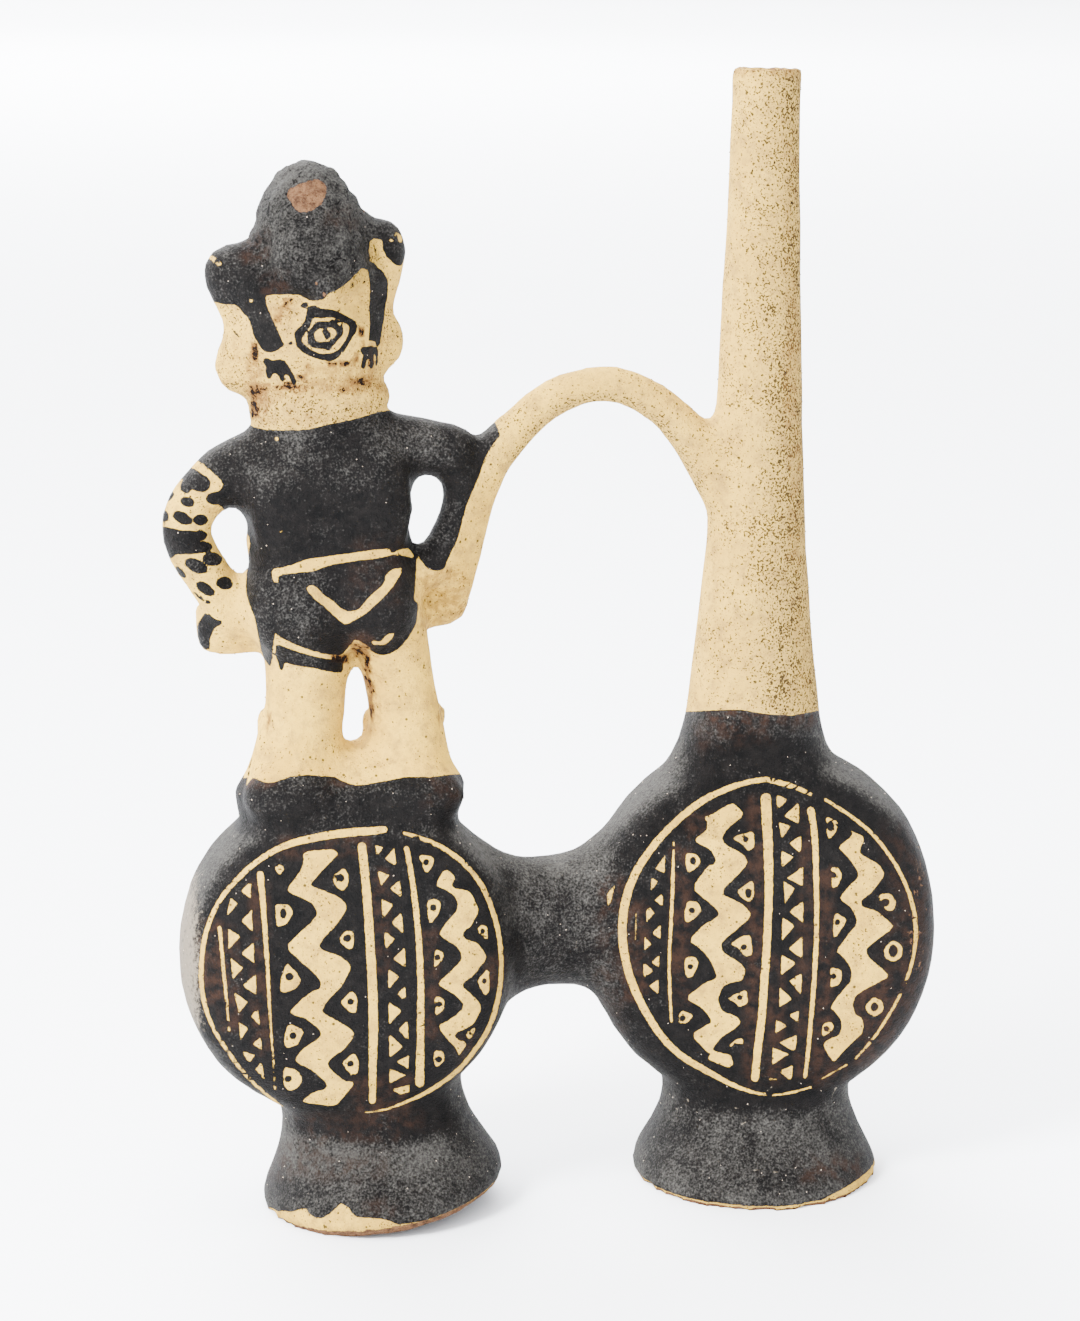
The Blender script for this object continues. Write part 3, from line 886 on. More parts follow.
# The side away from the camera, by eye: the face is a plain calm one, and the tablet has a zigzag
NOSE_LINE, EYE_LEVEL = -65.5, 235.8
EYE_APART = 8.0
FRONT_CAP = (
    (-96, 246), (-88, 244.2), (-78, 244.6), (-65.5, 245.2), (-53, 245), (-45, 248), (-36, 251), (-30, 275),
    (-65, 300), (-100, 275)
)
FRONT_LAPPETS = (
    ((-83.6, 249, 6.0), (-82.8, 240, 5.4), (-82.2, 232, 4.6)),
    ((-47.4, 252, 6.0), (-48.2, 243, 5.2), (-48.8, 234, 4.6))
)
FRONT_BAND = ((-86, 247.6, 3.4), (-76, 247.8, 3.4), (-65.5, 248.2, 3.4), (-55, 248.6, 3.4), (-45, 250.4, 3.2))
FRONT_ZIGZAG = (
    (-71, 155, 1.2), (-67, 161.5, 1.2), (-63, 155.6, 1.2), (-59, 162, 1.2), (-55, 156.2, 1.2),
    (-51, 162.6, 1.2), (-47.5, 157, 1.2)
)
FRONT_HANDS = ((-79.8, 161.5), (-38.8, 164.5))
HEEL_BAND_FOOT = 0.105
# Rubbed brown places and soiled places, as middle, half sizes and strength
FIGURE_THIN = (
    (-78.4, 257, 2.2, 3, 0.9), (-73.5, 247, 2.5, 1.5, 0.8), (-56.5, 263, 3, 2, 0.5),
    (-53.5, 150.5, 2.5, 4, 0.9), (-80, 117.5, 3.5, 0.8, 0.9), (-57, 114.5, 3.5, 2, 0.6),
    (58, 128.4, 16, 1.2, 1.0), (48, 124, 10, 2.4, 0.5), (-50, -4, 3.5, 1.5, 0.5), (78, -3, 8, 2.5, 0.7),
    (-31, 113, 4, 3, 0.4), (-49, 172, 6, 8, 0.3)
)
FIGURE_SOIL = (
    (-79.6, 224, 1.0, 4, 0.95), (-78, 218.5, 1.6, 3, 0.9), (-55, 226.6, 7, 1, 0.55),
    (-73.4, 241, 1.4, 2.2, 0.75), (-70, 240, 3, 3, 0.5), (-62, 220.0, 16, 0.5, 0.85),
    (-58, 223.2, 9, 1.6, 0.78), (-47.4, 229, 1.0, 4, 0.6), (-66, 212.6, 14, 0.6, 0.6),
    (-62, 216, 16, 3, 0.42), (-90, 191, 1.5, 1, 0.8), (-53, 151.6, 1.6, 1.2, 1.2),
    (-79, 133.6, 1.4, 2.6, 0.55), (-30.4, 132.3, 1.4, 2.4, 0.5), (25, 213, 5, 2, 0.4),
    (-87.5, 174, 1.6, 4, 0.55), (-31, 164, 6, 8, 0.75), (-86.4, 228, 3, 6, 0.55), (-43, 230, 3, 5, 0.45),
    (-53, 245, 4, 3, 0.5), (-38, 250, 3, 5, 0.4), (-48, 126, 2, 6, 0.4), (-34, 197, 3, 8, 0.35),
    (54, 299.6, 12, 0.6, 0.8), (61.6, 262, 1.2, 22, 0.5), (62.6, 222, 1.2, 16, 0.62),
    (64.4, 188, 1.4, 18, 0.6), (67, 150, 1.6, 18, 0.5), (-58.9, 235.0, 0.4, 0.7, 0.5),
    (-72, 229, 3, 3, 0.4), (-49, 138, 1, 8, 0.5), (-20, 199, 12, 14, 0.3)
)
# Small crumbs and lines of it, the same way
FIGURE_CRUMBS = (
    (-55.5, 226.5, 1.8, 0.5, 1.25), (-59.3, 226.3, 0.9, 0.4, 1.25), (-57.1, 226.8, 0.3, 0.3, 1.3),
    (-53.2, 228, 0.3, 0.9, 1.35), (-51.8, 234.4, 0.5, 1.1, 1.25), (-51.6, 231.4, 0.4, 0.7, 1.1),
    (-64.8, 225.5, 0.3, 0.4, 1.3), (-65.5, 226.4, 0.3, 0.3, 1.1), (-71.4, 240.8, 0.4, 1.2, 1.2),
    (-77.2, 133.6, 0.15, 2.8, 1.2), (-32.1, 132.3, 0.15, 2.6, 1.2), (-79, 130.2, 1.2, 0.15, 1.1),
    (-30.2, 129.4, 1.0, 0.15, 1.0), (-51.2, 146, 0.7, 3.5, 1.3), (-50.4, 137.5, 0.5, 4.5, 1.2),
    (-58.6, 149.4, 2.0, 1.0, 1.3), (-72, 220.8, 6, 0.4, 1.25), (-60, 220.4, 6, 0.4, 1.2),
    (-52, 221.6, 3, 0.4, 1.25), (-58, 217.2, 0.2, 1.5, 1.1), (-55.5, 216.5, 0.2, 1.2, 1.0),
    (-76.4, 221.5, 1.0, 0.4, 1.2), (-79.8, 226, 0.3, 1.4, 1.3), (-78.6, 220, 0.4, 2.4, 1.25),
    (-79.4, 218.5, 0.8, 5.0, 1.3), (-79.2, 230, 0.7, 2.2, 1.25), (-66, 223.4, 2.4, 0.4, 1.2),
    (-70.6, 221.4, 1.2, 0.7, 1.2), (-56.2, 221, 0.4, 2.4, 1.2), (-48.6, 221.5, 1.2, 0.6, 1.2),
    (-49.4, 228.2, 0.5, 2.4, 1.25), (-81.8, 242.6, 1.0, 0.6, 1.1), (-70.6, 242.4, 1.0, 1.0, 1.1),
    (-73.2, 238.4, 1.2, 0.8, 1.05)
)
# Weathered places, the same way: the right chamber's edge with its specks of clay and its brown, the
# left one's dusty edge, the left foot's pits and thin places, and the hips and shoulders
EDGE_SPECKS = ((101.0, 76.0, 1.5, 22.0, 1.0),)
EDGE_BROWN = ((102.0, 66.0, 6.0, 26.0, 1.0),)
EDGE_DUST = ((-104.0, 82.0, 4.0, 30.0, 1.0),)
FOOT_PITS = ((-62.0, 18.0, 8.0, 3.0, 1.0), (-40.0, 12.0, 5.0, 3.0, 0.55))
FOOT_THIN = ((-72.0, 12.0, 6.0, 3.0, 0.6), (-58.0, 9.0, 8.0, 1.0, 0.6))
HIPS_WORN = ((-73, 160, 6, 9, 0.42), (-74, 204, 8, 5, 0.4), (-40, 206, 8, 5, 0.4))
# How tan the cream is worn, across from the handle to the spout, and up the figure
SPOUT_TAN = ((-20.0, 25.0, 42.0, 50.0, 57.0, 61.0), (0.3, 0.45, 0.45, 0.5, 0.8, 1.0))
FIGURE_TAN = ((110.0, 150.0, 205.0, 216.0, 226.0), (0.05, 0.2, 0.35, 0.75, 0.45))


def seen_on_middle(at):
    """Where the line from the eye through each point meets the vessel's middle plane, in millimetres."""
    reach = EYE.y / (EYE.y - at[:, 1])
    return 1000.0 * np.stack([EYE.x + (at[:, 0] - EYE.x) * reach, EYE.z + (at[:, 2] - EYE.z) * reach], 1)


def seen_on_face(side, at):
    """The same on the plane of a round face, across and up from its middle."""
    centre, turn = CHAMBERS[side]
    out = np.array((math.sin(turn), -math.cos(turn), 0.0))
    eye = np.array(EYE)
    way = at - eye
    reach = ((np.array(centre) - eye) @ out + FACE_DEPTH) / (way @ out)
    return np.stack(face_place(side, eye + reach[:, None] * way)[:2], 1)


def zones(at, facing):
    """Which points are the figure's, and of those which face away from the camera; and where all are seen."""
    figure = (at[:, 0] < FIGURE_SIDE) & (at[:, 2] > HEEL_BAND_FOOT)
    front = figure & (facing[:, 1] > 0.0)
    seen = seen_on_middle(at)
    seen[front] = 1000.0 * at[front][:, [0, 2]]
    return figure, front, seen


def painted(at, facing):
    """The dark slip's field at every point, in the order in which it was brushed on."""
    figure, front, seen = zones(at, facing)
    back = ~front
    border = np.where(
        seen[:, 0] < 5.0,
        np.interp(seen[:, 0], *np.array(FIGURE_BORDER).T),
        np.interp(seen[:, 0], *np.array(SPOUT_BORDER).T),
    )
    paint = np.clip(border - seen[:, 1], -FIELD_REACH, FIELD_REACH)
    dark = [patch(outline) for outline in (CAP, RIGHT_STRAP, LEFT_HAND, RIGHT_HAND, EYE_LINES[0])]
    laid(paint, seen, dark, True, back)
    laid(paint, seen, [patch(EYE_LINES[1]), patch(CUFF, 0)], False, back)
    laid(paint, seen, [patch(EYE_LINES[2])], True, back)
    laid(paint, seen, [patch(EYE_LINES[3])], False, back)
    laid(paint, seen, [patch(PUPIL), *[spot(*dot) for dot in HEAD_DOTS], stroke(HEAD_CURVE)], True, back)
    paint[back & (np.hypot(*(seen - (-61.0, 234.5)).T) < 9.5)] += 0.15
    laid(paint, seen, [patch(FRONT_CAP), *[stroke(line) for line in FRONT_LAPPETS]], True, front)
    laid(paint, seen, [stroke(FRONT_BAND)], False, front)
    laid(paint, seen, [spot(x, 247.8 + 0.03 * (x + 65.5), 1.1, 1.0) for x in range(-84, -46, 5)], True, front)
    for side in (-1.0, 1.0):
        middle = NOSE_LINE + EYE_APART * side
        laid(paint, seen, [spot(middle, EYE_LEVEL, 6.2, 3.7)], True, front)
        laid(paint, seen, [spot(middle, EYE_LEVEL, 4.9, 2.5)], False, front)
        inner_end, outer_end = NOSE_LINE + 2.5 * side, NOSE_LINE + 14.0 * side
        brow = ((inner_end, 240.6, 1.4), (middle, 242.4, 2.1), (outer_end, 240.4, 1.2))
        laid(paint, seen, [spot(middle, EYE_LEVEL, 1.7, 1.8), stroke(brow)], True, front)
    mouth = ((NOSE_LINE - 4.8, 225.2, 1.0), (NOSE_LINE, 224.9, 1.5), (NOSE_LINE + 4.8, 225.2, 1.0))
    laid(paint, seen, [stroke(mouth)], True, front)
    dark = [patch(outline) for outline in (SHIRT, HEM_BAND, TABLET_CORNER, ARM_BLOTCH, ARM_BAND)]
    laid(paint, seen, dark, True)
    laid(paint, seen, [patch(BELT)], False)
    laid(paint, seen, [patch(outline) for outline in (CHEVRON, HEM_STROKE)], False, back)
    laid(paint, seen, [spot(*dab) for dab in ARM_SPOTS], True)
    laid(paint, seen, [spot(*flake) for flake in CREAM_FLAKES], False, back)

    # The tablet and the hands on it are cream, with a zigzag between the hands
    x, y, z = 1000.0 * at.T
    share = (x + 58.0) / 29.0
    tablet = np.hypot(y - 13.0 + 4.5 * share ** 2, z - 159.3 - 2.75 * share) < 8.6
    held = front & (np.abs(share) < 1.3) & tablet
    for hand in FRONT_HANDS:
        held |= front & (np.hypot(x - hand[0], z - hand[1]) < 9.5) & (y > 13.5)
    paint[held] = -FIELD_REACH
    laid(paint, seen, [stroke(FRONT_ZIGZAG)], True, held)

    for side, spots, place in round_faces(at, facing, seen):
        paint[spots] = face_painting(side, place)
    return paint


def round_faces(at, facing, seen):
    """For each chamber's near and far round face: the chamber, the face's points and their places."""
    for side, (centre, turn) in CHAMBERS.items():
        out = np.array((math.sin(turn), -math.cos(turn), 0.0))
        across, up, depth = face_place(side, at)
        for near_side in (True, False):
            there = (np.hypot(across, up) < FACE_RADIUS) & ((depth if near_side else -depth) > FACE_OUT)
            there &= (facing @ out > 0.2) if near_side else (facing @ out < -0.2)
            spots = np.flatnonzero(there & (seen[:, 1] < FACE_TOP))
            place = seen_on_face(side, at[spots]) if near_side else np.stack([-across[spots], up[spots]], 1)
            yield side, spots, place


# The outside away from what needs points is thinned to about this many triangles. What lies nearer to
# a painted edge than this is kept, and faces as near to it as the next are divided, by how often
PLAIN_TRIANGLES = 30000
PLAIN_AWAY = 2.2
EDGE_NEAR = {2: 1.0, 1: 0.7}
KEPT_SOLE, KEPT_RIM = 0.010, 0.294


def split(mesh, chosen, cuts):
    """Divides the chosen faces into smaller ones."""
    work = bmesh.new()
    work.from_mesh(mesh)
    work.faces.ensure_lookup_table()
    edges = {edge for i in chosen for edge in work.faces[i].edges}
    bmesh.ops.subdivide_edges(work, edges=list(edges), cuts=cuts, use_grid_fill=True)
    work.to_mesh(mesh)
    work.free()


def points_and_normals(mesh):
    """The same as points_of, with each point's outward direction."""
    mesh.vertices.foreach_get("normal", flat := np.empty(3 * len(mesh.vertices)))
    return points_of(mesh), flat.reshape(-1, 3)


# The hollow needs few triangles, and so does the outside away from the sole, the rim, the cap and the
# painting's edges. Along those edges it needs the most, and more where the camera sees them.
at, facing = points_and_normals(clay)
few = (np.abs(painted(at, facing)) > PLAIN_AWAY) & (at[:, 2] > KEPT_SOLE) & (at[:, 2] < KEPT_RIM)
few = hidden | (few & (on_cap == 0.0))
total = sum(len(face.vertices) - 2 for face in clay.polygons)
within = sum(len(face.vertices) - 2 for face in clay.polygons if all(few[i] for i in face.vertices))
group = vessel.vertex_groups.new(name="few")
group.add([int(i) for i in np.flatnonzero(few)], 1.0, "REPLACE")
fewer = vessel.modifiers.new("fewer", "DECIMATE")
fewer.ratio = (total - within + PLAIN_TRIANGLES) / total
fewer.vertex_group = group.name
clay = applied(vessel)
vessel.vertex_groups.clear()
for cuts, near in EDGE_NEAR.items():
    at, facing = points_and_normals(clay)
    paint = painted(at, facing)
    corners = np.array([i for face in clay.polygons for i in face.vertices])
    starts = np.array([face.loop_start for face in clay.polygons])
    nearest = np.minimum.reduceat(np.abs(paint)[corners], starts)
    signs = np.minimum.reduceat(paint[corners], starts) * np.maximum.reduceat(paint[corners], starts)
    centres = np.array([face.center for face in clay.polygons])
    normals = np.array([face.normal for face in clay.polygons])
    shown = ((centres - np.array(EYE)) * normals).sum(1) < 0.0
    long = np.array([face.area for face in clay.polygons]) > 0.6 * GRAIN ** 2
    outside = np.array([tree_of_cad.find_nearest(centre)[2] not in inner for centre in centres])
    chosen = ((nearest < near) | (signs < 0.0)) & long & outside & (shown if cuts == 2 else ~shown)
    split(clay, np.flatnonzero(chosen), cuts)

at, facing = points_and_normals(clay)
figure, front, seen = zones(at, facing)
back = ~front
x, y, z = 1000.0 * at.T
paint = painted(at, facing)
none = np.zeros(len(at))
thin = thinned(none, seen, FIGURE_THIN)
soil = thinned(none, seen, FIGURE_SOIL, 4.5)
soil = np.where(back, thinned(soil, seen, FIGURE_CRUMBS, 1.0), 0.0)
bare, pale, crack = (np.full(len(at), -FIELD_REACH) for _ in range(3))
chips = [patch(outline) for outline in BARE_CHIPS] + [spot(*chip) for chip in BARE_SPOTS]
laid(bare, seen, chips, True, back)
# Specks of clay show through along the right chamber's weathered edge
edge = thinned(none, seen, EDGE_SPECKS, 4.0) * back
bare = np.maximum(bare, np.where(edge > 0.0, 0.4 * edge - 0.6, -FIELD_REACH))
laid(pale, seen, [stroke(line) for line in PALE_STROKES], True, back & (facing[:, 1] < 0.0))
laid(crack, seen, [stroke(line) for line in CRACKS] + [spot(*pit) for pit in PITS], True, facing[:, 1] < 0.0)

# Outside the round faces the dark slip has weathered to grey, most of all where it was handled
worn = np.full(len(at), 0.42)
worn[figure] = 0.12 + 0.35 * np.clip(facing[figure][:, 2], 0.0, 1.0)
rough = np.full(len(at), 0.15)
for side, (centre, turn) in CHAMBERS.items():
    out = np.array((math.sin(turn), -math.cos(turn), 0.0))
    across, up, depth = face_place(side, at)
    round_face = (np.hypot(across, up) < 56.0) & ~figure
    sideways = np.clip((0.80 - np.abs(facing @ out)) / 0.6, 0.0, 1.0)
    rough[round_face] = (0.15 + 0.55 * sideways)[round_face]
    upward = np.clip(facing[:, 2], 0.0, 1.0)
    worn[round_face] = (0.03 + 0.90 * sideways + 0.25 * sideways * upward)[round_face]
for side, spots, place in round_faces(at, facing, seen):
    thin[spots] = thinned(np.zeros(len(spots)), place, FACE_THIN[side])
foot = np.clip((26.0 - z) / 6.0, 0.0, 1.0)
pitted = thinned(none, seen, FOOT_PITS, 11.0)
worn = np.maximum(worn, foot * np.where(x < 0.0, 0.55 + 0.55 * pitted, 0.55))
rough = np.maximum(rough, foot * np.where(x < 0.0, 0.45 + 0.5 * pitted, 0.35))
thin = np.maximum(thin, thinned(none, seen, FOOT_THIN, 4.0))
rough = np.maximum(rough, 0.5 * ((z > 100.0) & (x > 0.0) & (z < 131.0)))
between = np.clip((22.0 - np.abs(x)) / 10.0, 0.0, 1.0) * (z < 110.0)
worn = np.maximum(worn, between * (0.42 + 0.45 * np.clip(facing[:, 2], 0.0, 1.0)))
cap = figure * np.clip((z - 244.0) / 4.0, 0.0, 1.0) * np.clip((19.0 - np.abs(x + 65.0)) / 4.0, 0.0, 1.0)
worn, rough = np.maximum(worn, (0.36 + 0.02 * np.clip(z - 250.0, 0.0, 25.0)) * cap), np.maximum(rough, cap)
brown_edge = thinned(none, seen, EDGE_BROWN, 8.0) * back
worn, thin = worn * (1.0 - brown_edge), np.maximum(thin, 0.55 * brown_edge)
dusty_edge = thinned(none, seen, EDGE_DUST, 7.0) * (facing[:, 1] < 0.3)
pale = np.where(dusty_edge > 0.0, np.maximum(pale, 0.75 * dusty_edge - 0.40), pale)
worn = np.maximum(worn, thinned(none, seen, HIPS_WORN, 10.0))

# Dirt gathers in the creases, and what stands proud is rubbed
clay.attributes["dip"].data.foreach_get("value", dip := np.empty(len(at), np.float32))
soil = np.maximum(soil, np.clip((dip - 0.15) / 0.9, 0.0, 0.7) * (paint < 0.0))
worn = np.clip(worn + np.clip((-dip - 0.35) / 1.5, 0.0, 0.25), 0.0, 1.0)

# The slip stops short of the table all round each foot
left_height = z * math.cos(FOOT_LEAN) - (x + FOOT_HEEL) * math.sin(FOOT_LEAN)
height = np.where(x < 0.0, left_height, z)
left_edge, right_edge = (np.interp(seen[:, 0], *np.array(line).T) for line in (LEFT_SOLE, RIGHT_SOLE))
cream_edge = np.where(x < 0.0, left_edge, right_edge) - height
paint = np.minimum(paint, -np.clip(cream_edge, -FIELD_REACH, FIELD_REACH))
soil = np.maximum(soil, np.clip(1.0 - height / 5.0, 0.0, 1.0) * 0.55 * (cream_edge > -1.0))
bare = np.maximum(bare, np.clip(0.45 - height, -FIELD_REACH, FIELD_REACH))
bare = np.where((z < 24.0) & (facing[:, 2] < -0.75), FIELD_REACH, bare)
# Unpainted inside
bare[[tree_of_cad.find_nearest(place)[2] in inner for place in at]] = FIELD_REACH
# The cream is worn to tan on the spout and the neck, less on the handle, least on the legs
tan = np.interp(seen[:, 0], *SPOUT_TAN)
tan = np.maximum(tan, np.clip(0.35 - facing[:, 2], 0.0, 0.8) * (x < 38.0) * (x > -20.0))
tan = np.where(figure, np.interp(z, *FIGURE_TAN), tan)
tan = np.where((z < 118.0) & ~figure, 0.3, tan)
worn = np.where(paint < 0.0, tan, worn)
sandy = np.where((paint < -0.5) & (bare < -0.5), 0.35 + 0.65 * np.clip((x - 54.0) / 6.0, 0.0, 1.0), 0.0)
gritty = np.where((paint > 0.5) & (bare < -0.5), 1.0, 0.0)

for name, values in (
    ("paint", paint), ("bare", bare), ("pale", pale), ("crack", crack), ("thin", thin), ("soil", soil),
    ("worn", worn), ("rough", rough), ("sandy", sandy), ("gritty", gritty)
):
    clay.attributes.new(name, "FLOAT", "POINT").data.foreach_set("value", values.astype(np.float32))

# The slips and the clay
# Earthenware with sand in it, under a cream slip and a dark manganese one, both laid on with a brush,
# rubbed, and left matt by the fire. All of the finish is one material on the one piece of clay.

CREAM_COLOURS = ("#D2A93E", "#BD9635")
CREAM_WORN = "#A28442"
CREAM_STAIN = "#7E6338"
CREAM_GRIT = "#6E5836"
PEPPER_COLOUR = "#14110E"
DARK_COLOURS = ("#040404", "#100E0D")
GREY_COLOURS = ("#0E0E0E", "#575551")
FLECK_COLOUR = "#7C7263"
THIN_COLOURS = ("#170F0B", "#301F16")
CRACK_COLOUR = "#040303"
CLAY_COLOURS = ("#6C4E36", "#38271D")
CLAY_PIT = "#1A110B"
SOIL_COLOURS = ("#100905", "#644522")
MM = 1000.0
SMOOTH = {"interpolation_type": "SMOOTHSTEP"}
# What each noise breaks up: its seed, its size in millimetres, its detail and its roughness. Detail stops
# near a tenth of a millimetre, which is finer than the render shows
NOISES = {
    "ragged": (1.0, 1.8, 3.0, 0.65),
    "cloud": (2.0, 12.0, 3.0, 0.5),
    "stain": (3.0, 4.0, 4.0, 0.7),
    "mottle": (4.0, 3.2, 5.0, 0.75),
    "grains": (5.0, 1.3, 5.0, 0.8),
    "patches": (6.0, 9.0, 3.0, 0.5),
    "streak": (7.0, 3.5, 5.0, 0.65),
    "sand": (8.0, 2.0, 5.0, 0.85),
    "crumbs": (9.0, 2.2, 5.0, 0.7),
    "fine": (10.0, 0.55, 2.0, 0.5),
    "sooty": (11.0, 7.0, 4.0, 0.5),
}


def slipped_clay():
    """Matt fired earthenware, slip painted and hand rubbed: grainy, dry, with no gloss to speak of.

    The vessel's own fields say where each finish lies, and fine noise gives it a brush's or a chip's edge.
    """
    made = bpy.data.materials.new("slip_painted_earthenware")
    made.use_nodes = True
    tree = made.node_tree
    shader = tree.nodes["Principled BSDF"]
    at = add(tree, "ShaderNodeTexCoord", give="Object")
    paint, bare, pale, crack, thin, soil, worn, rough = [
        add(tree, "ShaderNodeAttribute", give="Fac", attribute_name=name)
        for name in ("paint", "bare", "pale", "crack", "thin", "soil", "worn", "rough")
    ]

    ragged, cloud, stain, mottle, grains, patches, streak, sand, crumbs, fine, sooty = [
        add(
            tree, "ShaderNodeTexNoise",
            {"Vector": at, "W": seed, "Scale": MM / size, "Detail": detail, "Roughness": roughness},
            noise_dimensions="4D"
        )
        for seed, size, detail, roughness in NOISES.values()
    ]

    # A brush edge wavers by a quarter of a millimetre over a millimetre and a half
    waver = {"Vector": at, "Scale": MM / 1.5, "Detail": 4.0, "Roughness": 0.6}
    waver = add(tree, "ShaderNodeTexNoise", waver)
    waver = add(tree, "ShaderNodeMath", {0: waver, 1: 0.62, 2: -0.31}, operation="MULTIPLY_ADD")
    edge = add(tree, "ShaderNodeMath", {0: paint, 1: waver}, operation="ADD")
    dark = add(tree, "ShaderNodeMapRange", {0: edge, 1: -0.10, 2: 0.10}, **SMOOTH)
    # A chip's edge is more ragged
    ragged = add(tree, "ShaderNodeMath", {0: ragged, 1: 1.776, 2: -0.888}, operation="MULTIPLY_ADD")
    edge = add(tree, "ShaderNodeMath", {0: bare, 1: ragged}, operation="ADD")
    chipped = add(tree, "ShaderNodeMapRange", {0: edge, 1: -0.08, 2: 0.08}, **SMOOTH)

    # Cream slip: cloudy over 12 mm, tan where it is worn, stained over 4 mm, and specked with soot and sand
    cloud = add(tree, "ShaderNodeMapRange", {0: cloud, 1: 0.35, 2: 0.68}, **SMOOTH)
    pair = {0: cloud, 6: linear(CREAM_COLOURS[0]), 7: linear(CREAM_COLOURS[1])}
    cream = add(tree, "ShaderNodeMix", pair, **COLOUR_MIX)
    cream = add(tree, "ShaderNodeMix", {0: worn, 6: cream, 7: linear(CREAM_WORN)}, **COLOUR_MIX)
    stain = add(tree, "ShaderNodeMapRange", {0: stain, 1: 0.434, 2: 0.721, 4: 0.70}, **SMOOTH)
    cream = add(tree, "ShaderNodeMix", {0: stain, 6: cream, 7: linear(CREAM_STAIN)}, **COLOUR_MIX)
    tanned = add(tree, "ShaderNodeMath", {0: worn, 1: 0.45, 2: 0.30}, operation="MULTIPLY_ADD")
    gritted = add(tree, "ShaderNodeMapRange", {0: grains, 1: 0.50, 2: 0.66}, **SMOOTH)
    gritted = add(tree, "ShaderNodeMath", {0: gritted, 1: tanned}, operation="MULTIPLY")
    cream = add(tree, "ShaderNodeMix", {0: gritted, 6: cream, 7: linear(CREAM_GRIT)}, **COLOUR_MIX)
    level = add(tree, "ShaderNodeMath", {0: sooty, 1: 0.30, 2: fine}, operation="MULTIPLY_ADD")
    level = add(tree, "ShaderNodeMath", {0: worn, 1: 0.17, 2: level}, operation="MULTIPLY_ADD")
    specks = add(tree, "ShaderNodeMapRange", {0: level, 1: 0.83, 2: 0.88, 4: 0.90}, **SMOOTH)
    cream = add(tree, "ShaderNodeMix", {0: specks, 6: cream, 7: linear(PEPPER_COLOUR)}, **COLOUR_MIX)
    away = add(tree, "ShaderNodeTexVoronoi", {"Vector": at, "Scale": MM / 1.7}, "Distance")
    pick = add(tree, "ShaderNodeSeparateColor", {0: away.node.outputs["Color"]})
    reach = add(tree, "ShaderNodeMapRange", {0: pick, 1: 0.35, 2: 1.0, 4: 0.30})
    pepper = add(tree, "ShaderNodeMath", {0: reach, 1: away}, operation="SUBTRACT")
    pepper = add(tree, "ShaderNodeMapRange", {0: pepper, 1: 0.0, 2: 0.10, 4: 0.85}, **SMOOTH)
    cream = add(tree, "ShaderNodeMix", {0: pepper, 6: cream, 7: linear(PEPPER_COLOUR)}, **COLOUR_MIX)

    # Dark slip: blue-black, clouded over 3 mm, and weathered to grey in grains of half a millimetre
    mottle = add(tree, "ShaderNodeMapRange", {0: mottle, 1: 0.336, 2: 0.697}, **SMOOTH)
    pair = {0: mottle, 6: linear(DARK_COLOURS[0]), 7: linear(DARK_COLOURS[1])}
    black = add(tree, "ShaderNodeMix", pair, **COLOUR_MIX)
    patches = add(tree, "ShaderNodeMath", {0: patches, 1: 1.1, 2: -0.55}, operation="MULTIPLY_ADD")
    level = add(tree, "ShaderNodeMath", {0: worn, 1: patches}, operation="ADD")
    level = add(tree, "ShaderNodeMath", {0: level, 1: 0.34, 2: -0.20}, operation="MULTIPLY_ADD")
    dust = add(tree, "ShaderNodeMix", {0: 0.6, 2: grains, 3: fine})
    level = add(tree, "ShaderNodeMath", {0: dust, 1: level}, operation="ADD")
    grey = add(tree, "ShaderNodeMapRange", {0: level, 1: 0.36, 2: 0.72, 4: 0.95}, **SMOOTH)
    pair = {0: dust, 6: linear(GREY_COLOURS[0]), 7: linear(GREY_COLOURS[1])}
    dusty = add(tree, "ShaderNodeMix", pair, **COLOUR_MIX)
    black = add(tree, "ShaderNodeMix", {0: grey, 6: black, 7: dusty}, **COLOUR_MIX)
    # Where a second coat was left off, the slip shows brown
    pair = {0: streak, 6: linear(THIN_COLOURS[0]), 7: linear(THIN_COLOURS[1])}
    brown = add(tree, "ShaderNodeMix", pair, **COLOUR_MIX)
    shown = add(tree, "ShaderNodeMapRange", {0: streak, 1: 0.38, 2: 0.62, 4: 0.9}, **SMOOTH)
    shown = add(tree, "ShaderNodeMath", {0: shown, 1: thin}, operation="MULTIPLY")
    black = add(tree, "ShaderNodeMix", {0: shown, 6: black, 7: brown}, **COLOUR_MIX)
    # Scratches show a little lighter, and cracks and pits as dark as soot
    fray = add(tree, "ShaderNodeMath", {0: grains, 1: 1.6, 2: -0.85}, operation="MULTIPLY_ADD")
    fray = add(tree, "ShaderNodeMath", {0: pale, 1: fray}, operation="ADD")
    pale = add(tree, "ShaderNodeMapRange", {0: fray, 1: -0.1, 2: 0.25, 4: 0.8}, **SMOOTH)
    black = add(tree, "ShaderNodeMix", {0: pale, 6: black, 7: linear(FLECK_COLOUR)}, **COLOUR_MIX)

    # Bare clay: sandy and open, with pits a millimetre apart
    body = add(tree, "ShaderNodeMapRange", {0: sand, 1: 0.383, 2: 0.640}, **SMOOTH)
    pair = {0: body, 6: linear(CLAY_COLOURS[0]), 7: linear(CLAY_COLOURS[1])}
    raw = add(tree, "ShaderNodeMix", pair, **COLOUR_MIX)
    raw = add(tree, "ShaderNodeMix", {0: pepper, 6: raw, 7: linear(CLAY_PIT)}, **COLOUR_MIX)

